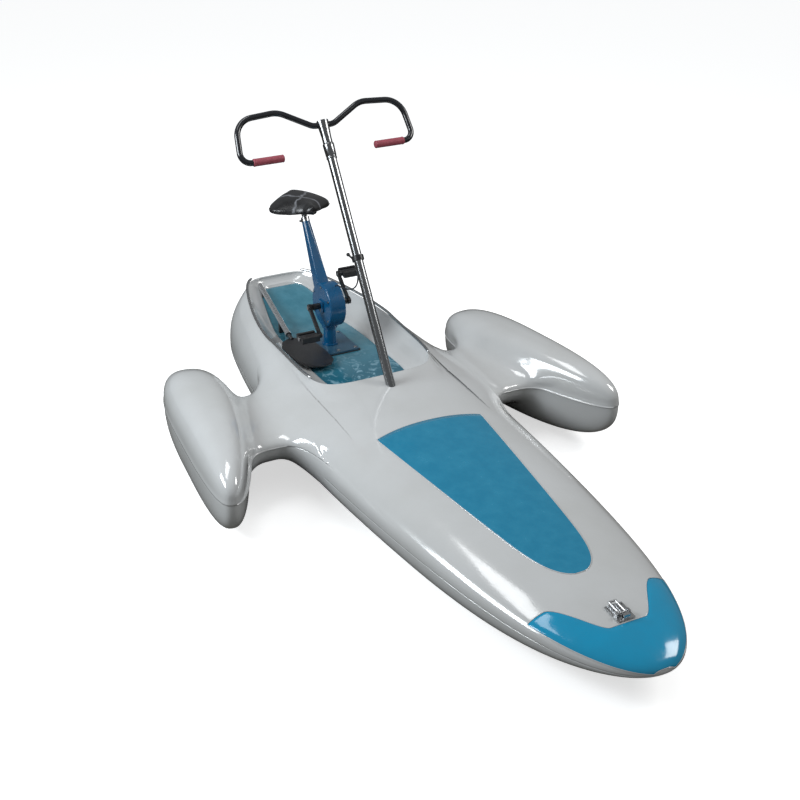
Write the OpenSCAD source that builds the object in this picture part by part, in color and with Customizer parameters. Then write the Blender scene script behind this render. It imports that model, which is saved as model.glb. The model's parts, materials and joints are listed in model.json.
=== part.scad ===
// Pedal boat with two outriggers, a cockpit with a pedal drive, and a leaning steering column.
// +X points to the bow, +Y to port, +Z up. The origin is under the middle of the hull, on the ground.
// Lengths are in millimetres.

/* [Hull] */
// Length of the hull over all
hull_len = 3440; // [3000:10:4000]
// Beam of the centre hull at its seam
hull_beam = 980; // [900:10:1100]
// Height of the seam between the deck and hull mouldings
seam_h = 190; // [160:5:220]
// Height of the deck where the steering column enters it
deck_h = 390; // [380:5:440]
// Wall thickness of the mouldings
skin_t = 6; // [4:0.5:9]
// Thickness of the keel strip that the boat stands on
keel_t = 8; // [5:1:14]
// Width of the keel strip
keel_w = 120; // [80:5:160]

/* [Cockpit] */
// Height of the cockpit sole above the ground
sole_h = 326; // [310:2:340]
// Thickness of the sole panels
sole_t = 8; // [5:1:12]
// Half width of the sole
sole_half = 203; // [180:1:230]
// Half width inside the cockpit rim
rim_half = 324; // [290:2:350]
// Diameter of the bead along the cockpit rim
bead_d = 14; // [8:1:18]

/* [Outriggers] */
// Distance from the centreline to the middle of a float
float_y = 828; // [800:2:900]
// Middle of a float behind the middle of the boat
float_back = 503; // [400:1:600]
// Length of a float
float_len = 1184; // [1000:4:1300]
// Width of a float
float_w = 285; // [240:5:320]
// Height of the top of a float
float_top = 418; // [380:2:440]
// Height of the bottom of a float
float_bottom = 20; // [16:2:80]
// Angle by which the floats' front ends are set outwards
toe_out = 10.4; // [0:0.2:14]
// Height of the seam between an outrigger's two halves
out_seam = 256; // [230:2:280]
// Chord of the wing that carries a float
wing_chord = 495; // [440:5:560]

/* [Drive] */
// Height of the crank axis
crank_h = 548; // [520:2:600]
// Distance of the crank axis behind the middle of the boat
drive_back = 1024; // [1000:2:1050]
// Crank arm length, axis to pedal axle
crank_len = 150; // [125:1:175]
// Crank angle at rest, from straight down towards the bow
crank_angle = 48; // [0:1:90]
// Diameter of the gear case
case_d = 220; // [200:2:240]
// Thickness of the gear case
case_w = 84; // [84:1:120]
// Outside diameter of the pedestal tube
pedestal_d = 62; // [56:1:70]
// Diameter of the crank spindle
spindle_d = 20; // [16:1:24]
// Diameter of the vertical drive shaft
shaft_d = 14; // [12:0.5:18]
// Diameter of the propeller
prop_d = 190; // [150:2:196]
// Height of the propeller axis
prop_h = 110; // [106:1:116]
// Length of the drive mounting plate
plate_len = 234; // [220:2:260]
// Width of the drive mounting plate
plate_wide = 212; // [190:2:230]

/* [Saddle] */
// Length of the saddle
saddle_len = 285; // [240:5:320]
// Width of the saddle
saddle_w = 318; // [240:2:340]
// Diameter of the seat post
post_d = 27; // [25:0.2:31]
// Aft lean of the seat column
seat_lean = 30.6; // [20:0.2:35]

/* [Steering] */
// Aft lean of the steering column
lean = 33.07; // [20:0.01:40]
// Length of the outer column tube above the deck
column_len = 1165; // [900:5:1250]
// Outside diameter of the column tube
column_d = 44; // [40:1:54]
// Wall of the column tube
column_wall = 3; // [2:0.5:5]
// Width of the handlebar between its outer tube centres
bar_w = 884; // [700:4:960]
// Diameter of the handlebar tube
bar_d = 28; // [25:0.5:32]
// Length of a grip
grip_len = 155; // [90:5:160]

/* [Paddle] */
// Diameter of the stowed paddle's shaft
paddle_d = 27; // [22:1:32]
// Length of the paddle's blade
blade_len = 290; // [240:10:430]

/* [Hidden] */

GELCOAT = [0.86, 0.87, 0.87];
DECK_BLUE = [0.10, 0.52, 0.68];
SOLE_TEAL = [0.16, 0.46, 0.56];
CASE_BLUE = [0.02, 0.36, 0.62];
STEEL = [0.78, 0.79, 0.80];
BLACK = [0.07, 0.07, 0.08];

gap = 0.3;          // seat gap between separate pieces
run = 0.05;         // radial clearance of a running fit
clear = 1;          // side clearance of a loose fit
$fn = 48;

bow_x = hull_len / 2;
stern_x = -hull_len / 2;
mid_x = -305;       // station of the greatest beam
column_x = -365;    // where the column meets the deck
drive_x = -drive_back;
half_beam = hull_beam / 2;
hull_bottom = keel_t + gap;
tunnel_roof = 230;  // roof of the propeller tunnel
panel_t = 3;        // thickness of the foredeck panel and the bow cap
case_r = case_d / 2;
case_half = case_w / 2;
case_wall = 6;
tube_r = pedestal_d / 2;
tube_bore = tube_r - 4;
spindle_r = spindle_d / 2;
shaft_r = shaft_d / 2;
column_r = column_d / 2;
column_bore = column_r - column_wall;
bar_r = bar_d / 2;
bead_r = bead_d / 2;
plate_t = 8;
gasket_t = 2;
gasket_z = sole_h + gap;
plate_z = gasket_z + gasket_t + gap;
plate_top = plate_z + plate_t;

function clamp01(t) = max(0, min(1, t));
function smooth(t) = let (c = clamp01(t)) c * c * (3 - 2 * c);
function unit(v) = v / norm(v);
function lerp(a, b, t) = a + (b - a) * t;
function along_bow(x) = clamp01((x - mid_x) / (bow_x - mid_x));
function along_stern(x) = clamp01((mid_x - x) / (mid_x - stern_x));

// ---------- hull form ----------

// Half breadth of the centre hull at its seam, blunt at both ends.
function half_breadth(x) =
    let (tf = along_bow(x), ta = along_stern(x))
    x > mid_x ? half_beam * (1 - 0.42 * pow(tf, 1.7)) * sqrt(1 - pow(tf, 8))
              : half_beam * (1 - 0.38 * pow(ta, 1.7)) * sqrt(1 - pow(ta, 22));

// Factor that brings the profile down to the seam at the very ends.
function end_close(x) =
    pow((1 - pow(along_bow(x), 10)) * (1 - pow(along_stern(x), 26)), 0.42);

// Height of the deck's centreline: it falls gently forward and would rise aft over the cockpit.
function crown_h(x) = deck_h - 0.062 * max(0, x - column_x) + 95 * smooth((column_x - x) / 600);

// Height of the deck surface, a superellipse across each station.
function deck_z(x, y) =
    let (b = max(1, half_breadth(x)), r = clamp01(abs(y) / b))
    seam_h + (crown_h(x) - seam_h) * end_close(x) * pow(1 - pow(r, 2.6), 1 / 2.6);

// Height of the keel line: flat amidships, with rocker towards both ends.
function keel_z(x) =
    let (f = clamp01((x - 600) / (bow_x - 600)), a = clamp01((-1000 - x) / (-1000 - stern_x)))
    seam_h - (seam_h - hull_bottom - 150 * f * f - 120 * a * a) * end_close(x);

// Height of the bottom surface, a superellipse across each station.
function bottom_z(x, y) =
    let (b = max(1, half_breadth(x)), r = clamp01(abs(y) / b))
    seam_h - (seam_h - keel_z(x)) * pow(1 - pow(r, 2.6), 1 / 2.6);

// Height of the cockpit sole, which ramps up towards the stern.
ramp_x = -1250;     // where the ramp starts
ramp_end = -1655;   // where the ramp ends
function sole_z(x) = sole_h + 88 * smooth((ramp_x - x) / (ramp_x - ramp_end));

// Height of the cockpit rim, which rises steadily aft.
function rim_z(x) = deck_h + 8 + 62 * clamp01((-500 - x) / 1200);

// A closed outline round the drive: a point for the angle a, with blunt ends whose
// sharpness is set by the exponents ef and ea, and a taper towards the stern.
function outline(a, front, back, half, taper, ef, ea) =
    let (u = abs(cos(a)), fore = cos(a) > 0,
         x = fore ? drive_x + (front - drive_x) * u : drive_x - (drive_x - back) * u,
         shape = fore ? pow(1 - pow(u, ef), 1 / 5) : (1 - taper * pow(u, 1.6)) * pow(1 - pow(u, ea), 1 / 5))
    [x, half * shape * sign(sin(a))];

sole_front = -508;
function sole_edge(a) = outline(a, sole_front, ramp_end - 12, sole_half, 0.42, 9, 12);
function rim_edge(a) = outline(a, -466, stern_x + 22, rim_half, 0.5, 7, 16);
function tunnel_foot(a) = outline(a, -800, stern_x + 34, 188, 0.1, 4, 14);
function tunnel_top(a) = outline(a, -868, stern_x + 90, 124, 0, 4, 14);
function seam_edge(a) =
    let (u = cos(a), x = u > 0 ? drive_x + (bow_x - drive_x) * u : drive_x + (drive_x - stern_x) * u)
    [x, half_breadth(x) * sign(sin(a))];

// A point of the deck between the seam and the rim. The dome is corrected so that it meets the rim.
function deck_point(a, t) =
    let (s = seam_edge(a), r = rim_edge(a), p = lerp(s, r, t), d = norm(s - r),
         reach = min(150, d), w = smooth(1 - (1 - t) * d / reach),
         miss = rim_z(r[0]) - deck_z(r[0], r[1]))
    [p[0], p[1], deck_z(p[0], p[1]) + miss * w];

// A point of the cockpit wall between the sole's edge and the rim.
function wall_point(a, t, rise) =
    let (f = sole_edge(a), r = rim_edge(a), p = lerp(f, r, t))
    [p[0], p[1], lerp(sole_z(f[0]), rim_z(r[0]), rise)];

// The edge of the sole's opening, a flange width inside the wall.
function flange_point(a, inset) =
    let (f = sole_edge(a), c = [lerp(drive_x, f[0], 0.4), 0], p = f + unit(c - f) * inset)
    [p[0], p[1], sole_z(p[0]) - sole_t - gap];

around = 64;        // points round the mouldings
flange_w = 22;      // width of the flange that carries the sole
angles = [for (j = [0 : around - 1]) 360 * (j + 0.5) / around];
deck_steps = [0, 0.004, 0.02, 0.06, 0.13, 0.25, 0.42, 0.62, 0.82];

deck_rings = concat(
    [for (t = deck_steps) [for (a = angles) deck_point(a, t)]],
    [[for (a = angles) deck_point(a, 1)]],
    [[for (a = angles) wall_point(a, 0.9, 0.84)]],
    [[for (a = angles) wall_point(a, 0.62, 0.42)]],
    [[for (a = angles) wall_point(a, 0.4, 0.24)]],
    [[for (a = angles) wall_point(a, 0.12, 0.12)]],
    [[for (a = angles) wall_point(a, 0, 0)]],
    [[for (a = angles) flange_point(a, 0)]],
    [[for (a = angles) flange_point(a, flange_w)]]);

// A point of the bottom between the seam and the foot of the propeller tunnel.
function bottom_point(a, t) =
    let (p = lerp(seam_edge(a), tunnel_foot(a), t)) [p[0], p[1], bottom_z(p[0], p[1])];

leg_hole_r = 110;   // opening in the tunnel roof that the drive leg's flange closes
bottom_steps = [0, 0.004, 0.02, 0.06, 0.14, 0.3, 0.52, 0.78, 1];
bottom_rings = concat(
    [for (t = bottom_steps) [for (a = angles) bottom_point(a, t) - (t == 0 ? [0, 0, gap] : [0, 0, 0])]],
    [[for (a = angles) let (p = lerp(tunnel_foot(a), tunnel_top(a), 0.5)) [p[0], p[1], lerp(bottom_z(p[0], p[1]), tunnel_roof, 0.6)]]],
    [[for (a = angles) let (p = tunnel_top(a)) [p[0], p[1], tunnel_roof]]],
    [[for (a = angles) [drive_x + leg_hole_r * cos(a), leg_hole_r * sin(a), tunnel_roof]]]);

// ---------- shells from grids of points ----------

// The normal at a point of a grid whose rows close on themselves.
function ring_normal(g, i, j) =
    let (n = len(g), m = len(g[0]),
         along = g[min(i + 1, n - 1)][j] - g[max(i - 1, 0)][j],
         across = g[i][(j + 1) % m] - g[i][(j + m - 1) % m])
    unit(cross(across, along));

// A ring shell: the outer grid, the same grid moved by t along its normals, and two end bands.
module ring_shell(g, t) {
    n = len(g);
    m = len(g[0]);
    inner = [for (i = [0 : n - 1]) for (j = [0 : m - 1])
        let (p = g[i][j] + t * ring_normal(g, i, j)) [p[0], p[1], i == 0 ? g[0][j][2] : p[2]]];
    outer = [for (row = g) for (p = row) p];
    faces = [for (i = [0 : n - 2]) for (j = [0 : m - 1])
        let (a = i * m + j, b = i * m + (j + 1) % m, c = a + m, d = b + m, o = n * m)
        each [[a, b, d], [a, d, c], [o + a, o + d, o + b], [o + a, o + c, o + d]]];
    bands = [for (j = [0 : m - 1])
        let (k = (j + 1) % m, o = n * m, e = (n - 1) * m)
        each [[j, o + j, o + k], [j, o + k, k], [e + j, e + k, o + e + k], [e + j, o + e + k, o + e + j]]];
    all = concat(faces, bands);
    polyhedron(concat(outer, inner), t > 0 ? all : [for (f = all) [f[2], f[1], f[0]]]);
}

// The normal at a point of an open grid.
function patch_normal(g, i, j) =
    let (n = len(g), m = len(g[0]),
         along = g[min(i + 1, n - 1)][j] - g[max(i - 1, 0)][j],
         across = g[i][min(j + 1, m - 1)] - g[i][max(j - 1, 0)])
    unit(cross(across, along));

// A patch with thickness: it reaches from lift to lift + t along the grid's normals.
module patch_shell(g, lift, t) {
    n = len(g);
    m = len(g[0]);
    low = [for (i = [0 : n - 1]) for (j = [0 : m - 1]) g[i][j] + lift * patch_normal(g, i, j)];
    high = [for (i = [0 : n - 1]) for (j = [0 : m - 1]) g[i][j] + (lift + t) * patch_normal(g, i, j)];
    plate_between(low, high, n, m);
}

// Closes two grids of n rows and m columns into one solid.
module plate_between(low, high, n, m) {
    o = n * m;
    top = [for (i = [0 : n - 2]) for (j = [0 : m - 2])
        let (a = i * m + j, b = a + 1, c = a + m, d = c + 1)
        each [[o + a, o + b, o + d], [o + a, o + d, o + c], [a, d, b], [a, c, d]]];
    sides = [for (i = [0 : n - 2])
        let (a = i * m, c = a + m, b = a + m - 1, d = c + m - 1)
        each [[a, o + a, o + c], [a, o + c, c], [b, d, o + d], [b, o + d, o + b]]];
    ends = [for (j = [0 : m - 2])
        let (a = j, b = j + 1, c = o - m + j, d = c + 1)
        each [[a, b, o + b], [a, o + b, o + a], [c, o + d, d], [c, o + c, o + d]]];
    polyhedron(concat(low, high), concat(top, sides, ends));
}

// ---------- outriggers ----------

wing_x = -542;      // middle of the wing's chord
wing_up = 52;       // the wing's thickness above its seam, and below it
wing_down = 134;
wing_start = half_beam + 76;    // where the root's fillet ends and the wing begins
root_fore = 205;    // how far the fillet reaches past the wing, forward and aft
root_aft = 70;
root_up = 62;
root_down = 126;
float_x = -float_back;
plan_n = 2.42;      // fullness of a float in plan, and in section
body_n = 2.84;

// Half breadth of the hull's side at a height.
function side_y(x, z) =
    let (b = half_breadth(x), h = z > seam_h ? crown_h(x) - seam_h : seam_h - keel_z(x))
    b * pow(1 - pow(clamp01(abs(z - seam_h) / h), 2.6), 1 / 2.6);
function off_side(p, out) = [p[0], max(p[1], side_y(p[0], p[2]) + out + 4 * smooth((p[2] - 285) / 40)), p[2]];

// A float's outline in plan: a fuller oval, wider aft, its ends bent outwards, set at an angle.
function oval(v) = sign(v) * pow(abs(v), 2 / plan_n);
float_plan = [for (i = [0 : 89])
    let (u = oval(cos(4 * i)), x = float_len / 2 * u, y = float_w / 2 * oval(sin(4 * i)) * (1 - 0.33 * u) + 29 * u * u)
    [float_x + x * cos(toe_out) - y * sin(toe_out), float_y + x * sin(toe_out) + y * cos(toe_out)]];
float_out = max([for (p = float_plan) p[1]]);
function plan_cut(y) = [for (i = [0 : 89])
    let (a = float_plan[i], b = float_plan[(i + 1) % 90])
    if ((a[1] - y) * (b[1] - y) < 0) a[0] + (b[0] - a[0]) * (y - a[1]) / (b[1] - a[1])];

// Height of a float over its seam at a point of the plan, as a share of its greatest height.
function float_share(x, y) =
    let (dx = x - float_x, dy = y - float_y, u = (dx * cos(toe_out) + dy * sin(toe_out)) / (float_len / 2),
         v = (dy * cos(toe_out) - dx * sin(toe_out) - 29 * u * u) / (float_w / 2 * (1 - 0.33 * u)),
         s = pow(abs(u), plan_n) + pow(abs(v), plan_n))
    s < 1 ? pow(1 - pow(s, body_n / plan_n), 1 / body_n) : 0;

// Height of the wing over its seam, which fades out inside the float.
function wing_share(x, y) =
    pow(1 - pow(clamp01(abs(x - wing_x) / (wing_chord / 2)), 2.5), 0.4) * (1 - smooth((y - float_y + 130) / 130));
function skin_h(x, y, wing, body) =
    pow(pow(wing * wing_share(x, y), 3) + pow(body * float_share(x, y), 3), 1 / 3);

// The two edges of the outrigger at y, in plan: those of the wing and of the float together.
function edges(y) =
    let (c = plan_cut(y), w = y < float_y - 20 ? [wing_x - wing_chord / 2, wing_x + wing_chord / 2] : [],
         all = concat(c, w))
    [min(all), max(all)];

chord_steps = [0 : 15 : 180];
span_steps = concat(
    [for (d = [0, 24, 44, 58, 68, 78, 90, 106, 126, 150, 178, 208, 240, 272, 304, 334, 362])
        wing_start + d * (float_y + 100 - wing_start) / 362],
    [for (d = [50, 32, 18, 9, 3]) float_out - d], [float_out - 0.6]);

function section_row(y, up) =
    let (e = edges(y), m = (e[0] + e[1]) / 2, h = (e[1] - e[0]) / 2, end = y > float_out - 1)
    [for (a = chord_steps) let (x = m + h * cos(a))
        [x, y, out_seam + (end ? 0 : up ? skin_h(x, y, wing_up, float_top - out_seam)
                                        : -skin_h(x, y, wing_down, out_seam - float_bottom))]];

// The root's loop lies on the side of the hull. A fillet sweeps from it out to the wing.
function root_point(a, up) =
    let (x = wing_x + (wing_chord / 2 + (cos(a) > 0 ? root_fore : root_aft)) * cos(a),
         z = out_seam + (up ? root_up : -root_down) * pow(sin(a), 0.8))
    off_side([x, 0, z], 3);
function root_row(t, up) =
    let (s = section_row(wing_start, up))
    [for (k = [0 : len(s) - 1])
        let (p = root_point(chord_steps[0] + 15 * k, up), q = s[k], inward = unit([wing_x, p[1], out_seam] - p),
             d = norm(q - p), h0 = (1 + 2 * t) * (1 - t) * (1 - t), h1 = t * t * (3 - 2 * t),
             g0 = t * (1 - t) * (1 - t), g1 = -t * t * (1 - t))
        off_side(p * h0 + q * h1 + (inward * 0.6 + [0, 0.45, 0]) * d * g0 + [0, 1, 0] * d * 0.9 * g1, 3 + 6 * t)];

function outrigger_grid(up) = concat(
    [for (t = [0, 0.14, 0.32, 0.54, 0.78]) root_row(t, up)],
    [for (y = span_steps) section_row(y, up)]);

// The inner skin is the outer one drawn in towards the middle of each row.
function drawn_in(row) =
    let (n = len(row) - 1, m = (row[0][0] + row[n][0]) / 2, h = abs(row[n][0] - row[0][0]) / 2,
         top = max([for (p = row) abs(p[2] - out_seam)]), s = skin_t + 1,
         kx = max(0.3, (h - s) / h), kz = max(0.3, (top - s) / max(1, top)))
    [for (p = row) let (q = [m + (p[0] - m) * kx, p[1] - max(0, p[1] - float_y) * s / (float_out - float_y),
                             out_seam + (p[2] - out_seam) * kz])
        p[1] < wing_start ? off_side(q, 3) : q];

module outrigger_half(up) {
    outer = outrigger_grid(up);
    n = len(outer);
    m = len(outer[0]);
    flat_out = [for (row = outer) for (p = row) p];
    flat_in = [for (row = outer) for (p = drawn_in(row)) p];
    translate([0, 0, up ? 0 : -gap])
        if (up) plate_between(flat_out, flat_in, n, m);
        else plate_between(flat_in, flat_out, n, m);
}

module outrigger_top() color(GELCOAT) outrigger_half(true);
module outrigger_bottom() color(GELCOAT) outrigger_half(false);
module outrigger_top_port() outrigger_top();
module outrigger_top_starboard() mirror([0, 1, 0]) outrigger_top();
module outrigger_bottom_port() outrigger_bottom();
module outrigger_bottom_starboard() mirror([0, 1, 0]) outrigger_bottom();

// ---------- mouldings ----------

rudder_x = -1545;   // rudder axis
trunk_r = 16;

module hull_moulding() color(GELCOAT) difference() {
    ring_shell(bottom_rings, skin_t);
    translate([rudder_x, 0, tunnel_roof - 20])
        cylinder(h = 60, r = trunk_r + gap);
}

module deck_moulding() color(GELCOAT) difference() {
    ring_shell(deck_rings, -skin_t);
    on_column() translate([0, 0, -60])
        cylinder(h = 120, r = column_r + gap);
}

module keel_strip() color(BLACK)
    translate([-620, -keel_w / 2, 0])
        cube([1200, keel_w, keel_t]);

// A raised panel on the foredeck: a long shield, wide at the back and round in front.
panel_back = 2;
panel_front = 1182;
function panel_half(x) =
    let (u = clamp01((x - panel_back) / (panel_front - panel_back)))
    lerp(262, 118, pow(u, 1.05)) * pow(1 - 0.97 * pow(u, 14), 0.5);
module foredeck_panel() color(DECK_BLUE)
    patch_shell([for (v = [-1 : 0.125 : 1]) [for (u = [0 : 0.05 : 1.001])
        let (back = panel_back - 34 * (1 - v * v), x = lerp(back, panel_front, sin(90 * u)),
             y = panel_half(max(x, panel_back)) * v)
        [x, y, deck_z(x, y)]]], 1.2, panel_t - 1.2);

// The cap over the bow: its back edge runs from two ears to a flat notch.
cap_ear = 1300;
cap_notch = 1490;
function cap_edge(r) = lerp(cap_notch, cap_ear, smooth((abs(r) - 0.26) / 0.46));
module bow_cap() color(DECK_BLUE)
    patch_shell([for (s = [-72 : 8 : 72.1]) [for (u = [0 : 0.1 : 1.001])
        let (r = sin(s), x = lerp(cap_edge(r), bow_x - 6, sin(90 * u)), y = half_breadth(x) * sign(s) * pow(abs(r), 0.9))
        [x, y, deck_z(x, y)]]], 1.4, panel_t - 1.2);

// The flat part of the sole, with a round hole for the drive leg.
leg_r = 35;
module cockpit_sole() color(SOLE_TEAL)
    translate([0, 0, sole_h - sole_t])
        linear_extrude(sole_t) difference() {
            intersection() {
                polygon([for (a = angles) sole_edge(a) + unit([drive_x, 0] - sole_edge(a)) * 1.5]);
                translate([ramp_x + 14, -400]) square([900, 800]);
            }
            translate([drive_x, 0]) circle(r = leg_r + 2);
        }

// The ramp of the sole behind it.
sole_plan = [for (a = angles) sole_edge(a)];
function sole_half_at(x) = max([for (k = [0 : around - 1])
    let (a = sole_plan[k], b = sole_plan[(k + 1) % around])
    if ((a[0] - x) * (b[0] - x) < 0) abs(a[1] + (b[1] - a[1]) * (x - a[0]) / (b[0] - a[0]))]);
module aft_sole() color(SOLE_TEAL) {
    grid = [for (v = [-1 : 0.25 : 1.001]) [for (x = [ramp_x + 13 : -18.6 : ramp_end + 10])
        [x, v * (sole_half_at(x) - 3), sole_z(x)]]];
    n = len(grid);
    m = len(grid[0]);
    low = [for (row = grid) for (p = row) p - [0, 0, sole_t - 1.8]];
    high = [for (row = grid) for (p = row) p];
    plate_between(high, low, n, m);
}

// The points of a line p whose corners are rounded: bends holds the radii and steps the points in each.
function turn(a, b, c) = acos(unit(b - a) * unit(c - b));
function corner(a, b, c, bend, n) =
    let (d1 = unit(b - a), d2 = unit(c - b), t = turn(a, b, c), mid = b + unit(d2 - d1) * bend / cos(t / 2),
         x = unit(b - d1 * bend * tan(t / 2) - mid))
    [for (k = [0 : n]) mid + bend * (x * cos(t * k / n) + d1 * sin(t * k / n))];
function rounded_path(p, bends, steps) = [for (i = [0 : len(p) - 1])
    each (bends[i] == 0 ? [p[i]] : corner(p[i - 1], p[i], p[i + 1], bends[i], steps[i]))];

// A round tube swept along points; ref is a direction that the path never runs along.
function path_dir(p, i) = unit(p[min(i + 1, len(p) - 1)] - p[max(i - 1, 0)]);
module swept_tube(path, r, sides, ref) {
    n = len(path);
    points = [for (i = [0 : n - 1])
        let (d = path_dir(path, i), e = unit(cross(d, ref)), f = cross(d, e))
        for (k = [0 : sides - 1]) path[i] + r * (e * cos(360 * k / sides) + f * sin(360 * k / sides))];
    walls = [for (i = [0 : n - 2]) for (k = [0 : sides - 1])
        let (a = i * sides + k, b = i * sides + (k + 1) % sides)
        each [[a, a + sides, b + sides], [a, b + sides, b]]];
    caps = [[for (k = [0 : sides - 1]) k], [for (k = [sides - 1 : -1 : 0]) (n - 1) * sides + k]];
    polyhedron(points, concat(walls, caps));
}

// A bright bead lies on the rim along each side, and ends forward in a corner guard.
module side_bead() {
    swept_tube([for (a = [37 : 5 : 167.1])
        let (r = rim_edge(a), s = seam_edge(a), p = r + unit(s - r) * 6)
        [p[0], p[1], max(rim_z(r[0]), deck_point(a, 1)[2]) + bead_r + 2.2]], bead_r, 8, [0, 0, 1]);
}
module coaming_trim() color(STEEL) {
    side_bead();
    mirror([0, 1, 0]) side_bead();
}

// ---------- drive unit ----------

module at_drive() translate([drive_x, 0, 0]) children();
module at_spindle() translate([drive_x, 0, crank_h]) children();

// Stands a cylinder along +Y from y0 to y1.
module along_y(y0, y1, r) translate([0, y0, 0]) rotate([-90, 0, 0]) cylinder(h = y1 - y0, r = r);

screw_dx = plate_len / 2 - 16;
screw_dy = plate_wide / 2 - 16;
module at_plate_screws()
    for (x = [-screw_dx, screw_dx], y = [-screw_dy, 0, screw_dy])
        at_drive() translate([x, y, 0]) children();

module rounded_plate(l, w, r, h) linear_extrude(h) difference() {
    square([l, w], center = true);
    for (sx = [-1, 1], sy = [-1, 1])
        translate([sx * l / 2, sy * w / 2]) difference() {
            translate([-sx * r / 2, -sy * r / 2]) square([r, r], center = true);
            translate([-sx * r, -sy * r]) circle(r = r);
        }
}

screw_r = 4;
module drive_plate() color(CASE_BLUE) difference() {
    at_drive() translate([0, 0, plate_z]) rounded_plate(plate_len, plate_wide, 8, plate_t);
    at_drive() translate([0, 0, plate_z - 1]) cylinder(h = plate_t + 2, r = shaft_r + 5);
    at_plate_screws() translate([0, 0, plate_z - 1]) cylinder(h = plate_t + 2, r = screw_r + gap);
}

module plate_gasket() color(BLACK) difference() {
    at_drive() translate([0, 0, gasket_z]) rounded_plate(plate_len + 14, plate_wide + 14, 12, gasket_t);
    at_drive() translate([0, 0, gasket_z - 1]) cylinder(h = gasket_t + 2, r = leg_r + 2);
    at_plate_screws() translate([0, 0, gasket_z - 1]) cylinder(h = gasket_t + 2, r = screw_r + gap);
}

module plate_screws() color(STEEL) at_plate_screws() {
    translate([0, 0, plate_top + gap]) cylinder(h = 4, r = 8);
    translate([0, 0, gasket_z]) cylinder(h = plate_top - gasket_z + gap, r = screw_r);
}

neck_r = tube_r + 9;
neck_low = crank_h - case_r - 8;
neck_high = neck_low + 36;
tube_top = neck_high - 4;
module pedestal_tube() color(CASE_BLUE) at_drive() difference() {
    union() {
        translate([0, 0, plate_top + gap]) cylinder(h = tube_top - plate_top - gap, r = tube_r);
        translate([0, 0, plate_top + gap]) cylinder(h = 7, r = tube_r + 8);
    }
    translate([0, 0, plate_top]) cylinder(h = tube_top, r = tube_bore);
}

bearing_r = 24;
bearing_w = 12;
case_screw_angles = [35, 145, -30, -90, -150];
module at_case_screws()
    for (a = case_screw_angles)
        at_spindle() rotate([0, a, 0]) translate([case_r - 15, 0, 0]) children();

// Half of the gear case, on the +Y side: a dished disc with a neck for the pedestal tube.
module case_half_shell() difference() {
    union() {
        at_spindle() rotate([-90, 0, 0]) rotate_extrude($fn = 96) difference() {
            square([case_r, case_half]);
            translate([case_r - 8, case_half - 8]) difference() {
                square([9, 9]);
                circle(r = 8);
            }
        }
        at_drive() translate([0, 0, neck_low]) cylinder(h = neck_high - neck_low, r = neck_r);
    }
    at_spindle() along_y(-1, case_half - case_wall, case_r - case_wall);
    at_spindle() along_y(0, case_half + 1, bearing_r + run);
    at_drive() translate([0, 0, neck_low - 1]) cylinder(h = tube_top - neck_low + 1 + gap, r = tube_r + gap);
    at_drive() translate([0, 0, neck_low]) cylinder(h = 60, r = tube_bore);
    translate([drive_x - 300, -200, 0]) cube([600, 200 + gap / 2, 900]);
    at_case_screws() along_y(0, case_half + 1, 3 + gap);
}
module gear_case_port() color(CASE_BLUE) case_half_shell();
module gear_case_starboard() color(CASE_BLUE) mirror([0, 1, 0]) case_half_shell();

module case_screws() color(STEEL) at_case_screws() {
    along_y(-case_half - gap, case_half + gap, 3);
    along_y(-case_half - gap - 4, -case_half - gap, 5.5);
    along_y(case_half + gap, case_half + gap + 4, 5.5);
}

// Ball bearings are shown as plain rings.
module spindle_bearings() color(STEEL)
    for (s = [-1, 1])
        at_spindle() translate([0, s * (case_half - bearing_w / 2), 0]) difference() {
            along_y(-bearing_w / 2, bearing_w / 2, bearing_r);
            along_y(-bearing_w, bearing_w, spindle_r + run);
        }

flange_side = 58;
flange_t = 8;
module bearing_flanges() color(CASE_BLUE)
    for (s = [-1, 1])
        at_spindle() translate([0, s * (case_half + gap + flange_t / 2), 0]) rotate([90, 0, 0])
            translate([0, 0, -flange_t / 2]) difference() {
                rounded_plate(flange_side, flange_side, 9, flange_t);
                translate([0, 0, -1]) cylinder(h = flange_t + 2, r = spindle_r + 1);
            }

// ----- seat column, post and saddle -----

seat_root = [drive_x - 92, 0, crank_h + 70];
seat_dir = [-sin(seat_lean), 0, cos(seat_lean)];
seat_top_h = 894;   // height of the top of the seat column
seat_len = (seat_top_h - seat_root[2]) / cos(seat_lean);
module on_seat() translate(seat_root) rotate([0, -seat_lean, 0]) children();
post_r = post_d / 2;
mast_r = post_r + 6.5;

module seat_column() color(CASE_BLUE) difference() {
    hull() {
        on_seat() translate([0, 0, seat_len - 20]) cylinder(h = 20, r = mast_r, $fn = 32);
        on_seat() translate([-22, -21, 110]) cube([40, 42, 30]);
        at_spindle() rotate([0, -142, 0]) translate([case_r - 12, -28, -32]) cube([18, 56, 64]);
    }
    at_spindle() along_y(-case_half - 1, case_half + 1, case_r + 2 * gap);
    on_seat() translate([0, 0, seat_len - 240]) cylinder(h = 260, r = post_r + run);
}

clamp_h = 22;
module seat_clamp() color(STEEL) on_seat() {
    translate([0, 0, seat_len + gap]) difference() {
        union() {
            cylinder(h = clamp_h, r = post_r + 7);
            translate([-post_r - 24, -9, 3]) cube([22, 18, clamp_h - 6]);
        }
        translate([0, 0, -1]) cylinder(h = clamp_h + 2, r = post_r + run);
        translate([-post_r - 30, -1.5, -1]) cube([post_r + 10, 3, clamp_h + 2]);
    }
    translate([-post_r - 15, -20, seat_len + clamp_h / 2]) rotate([-90, 0, 0]) cylinder(h = 10, r = 5);
    translate([-post_r - 15, 10, seat_len + clamp_h / 2]) rotate([-90, 0, 0]) cylinder(h = 8, r = 5);
}

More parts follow.
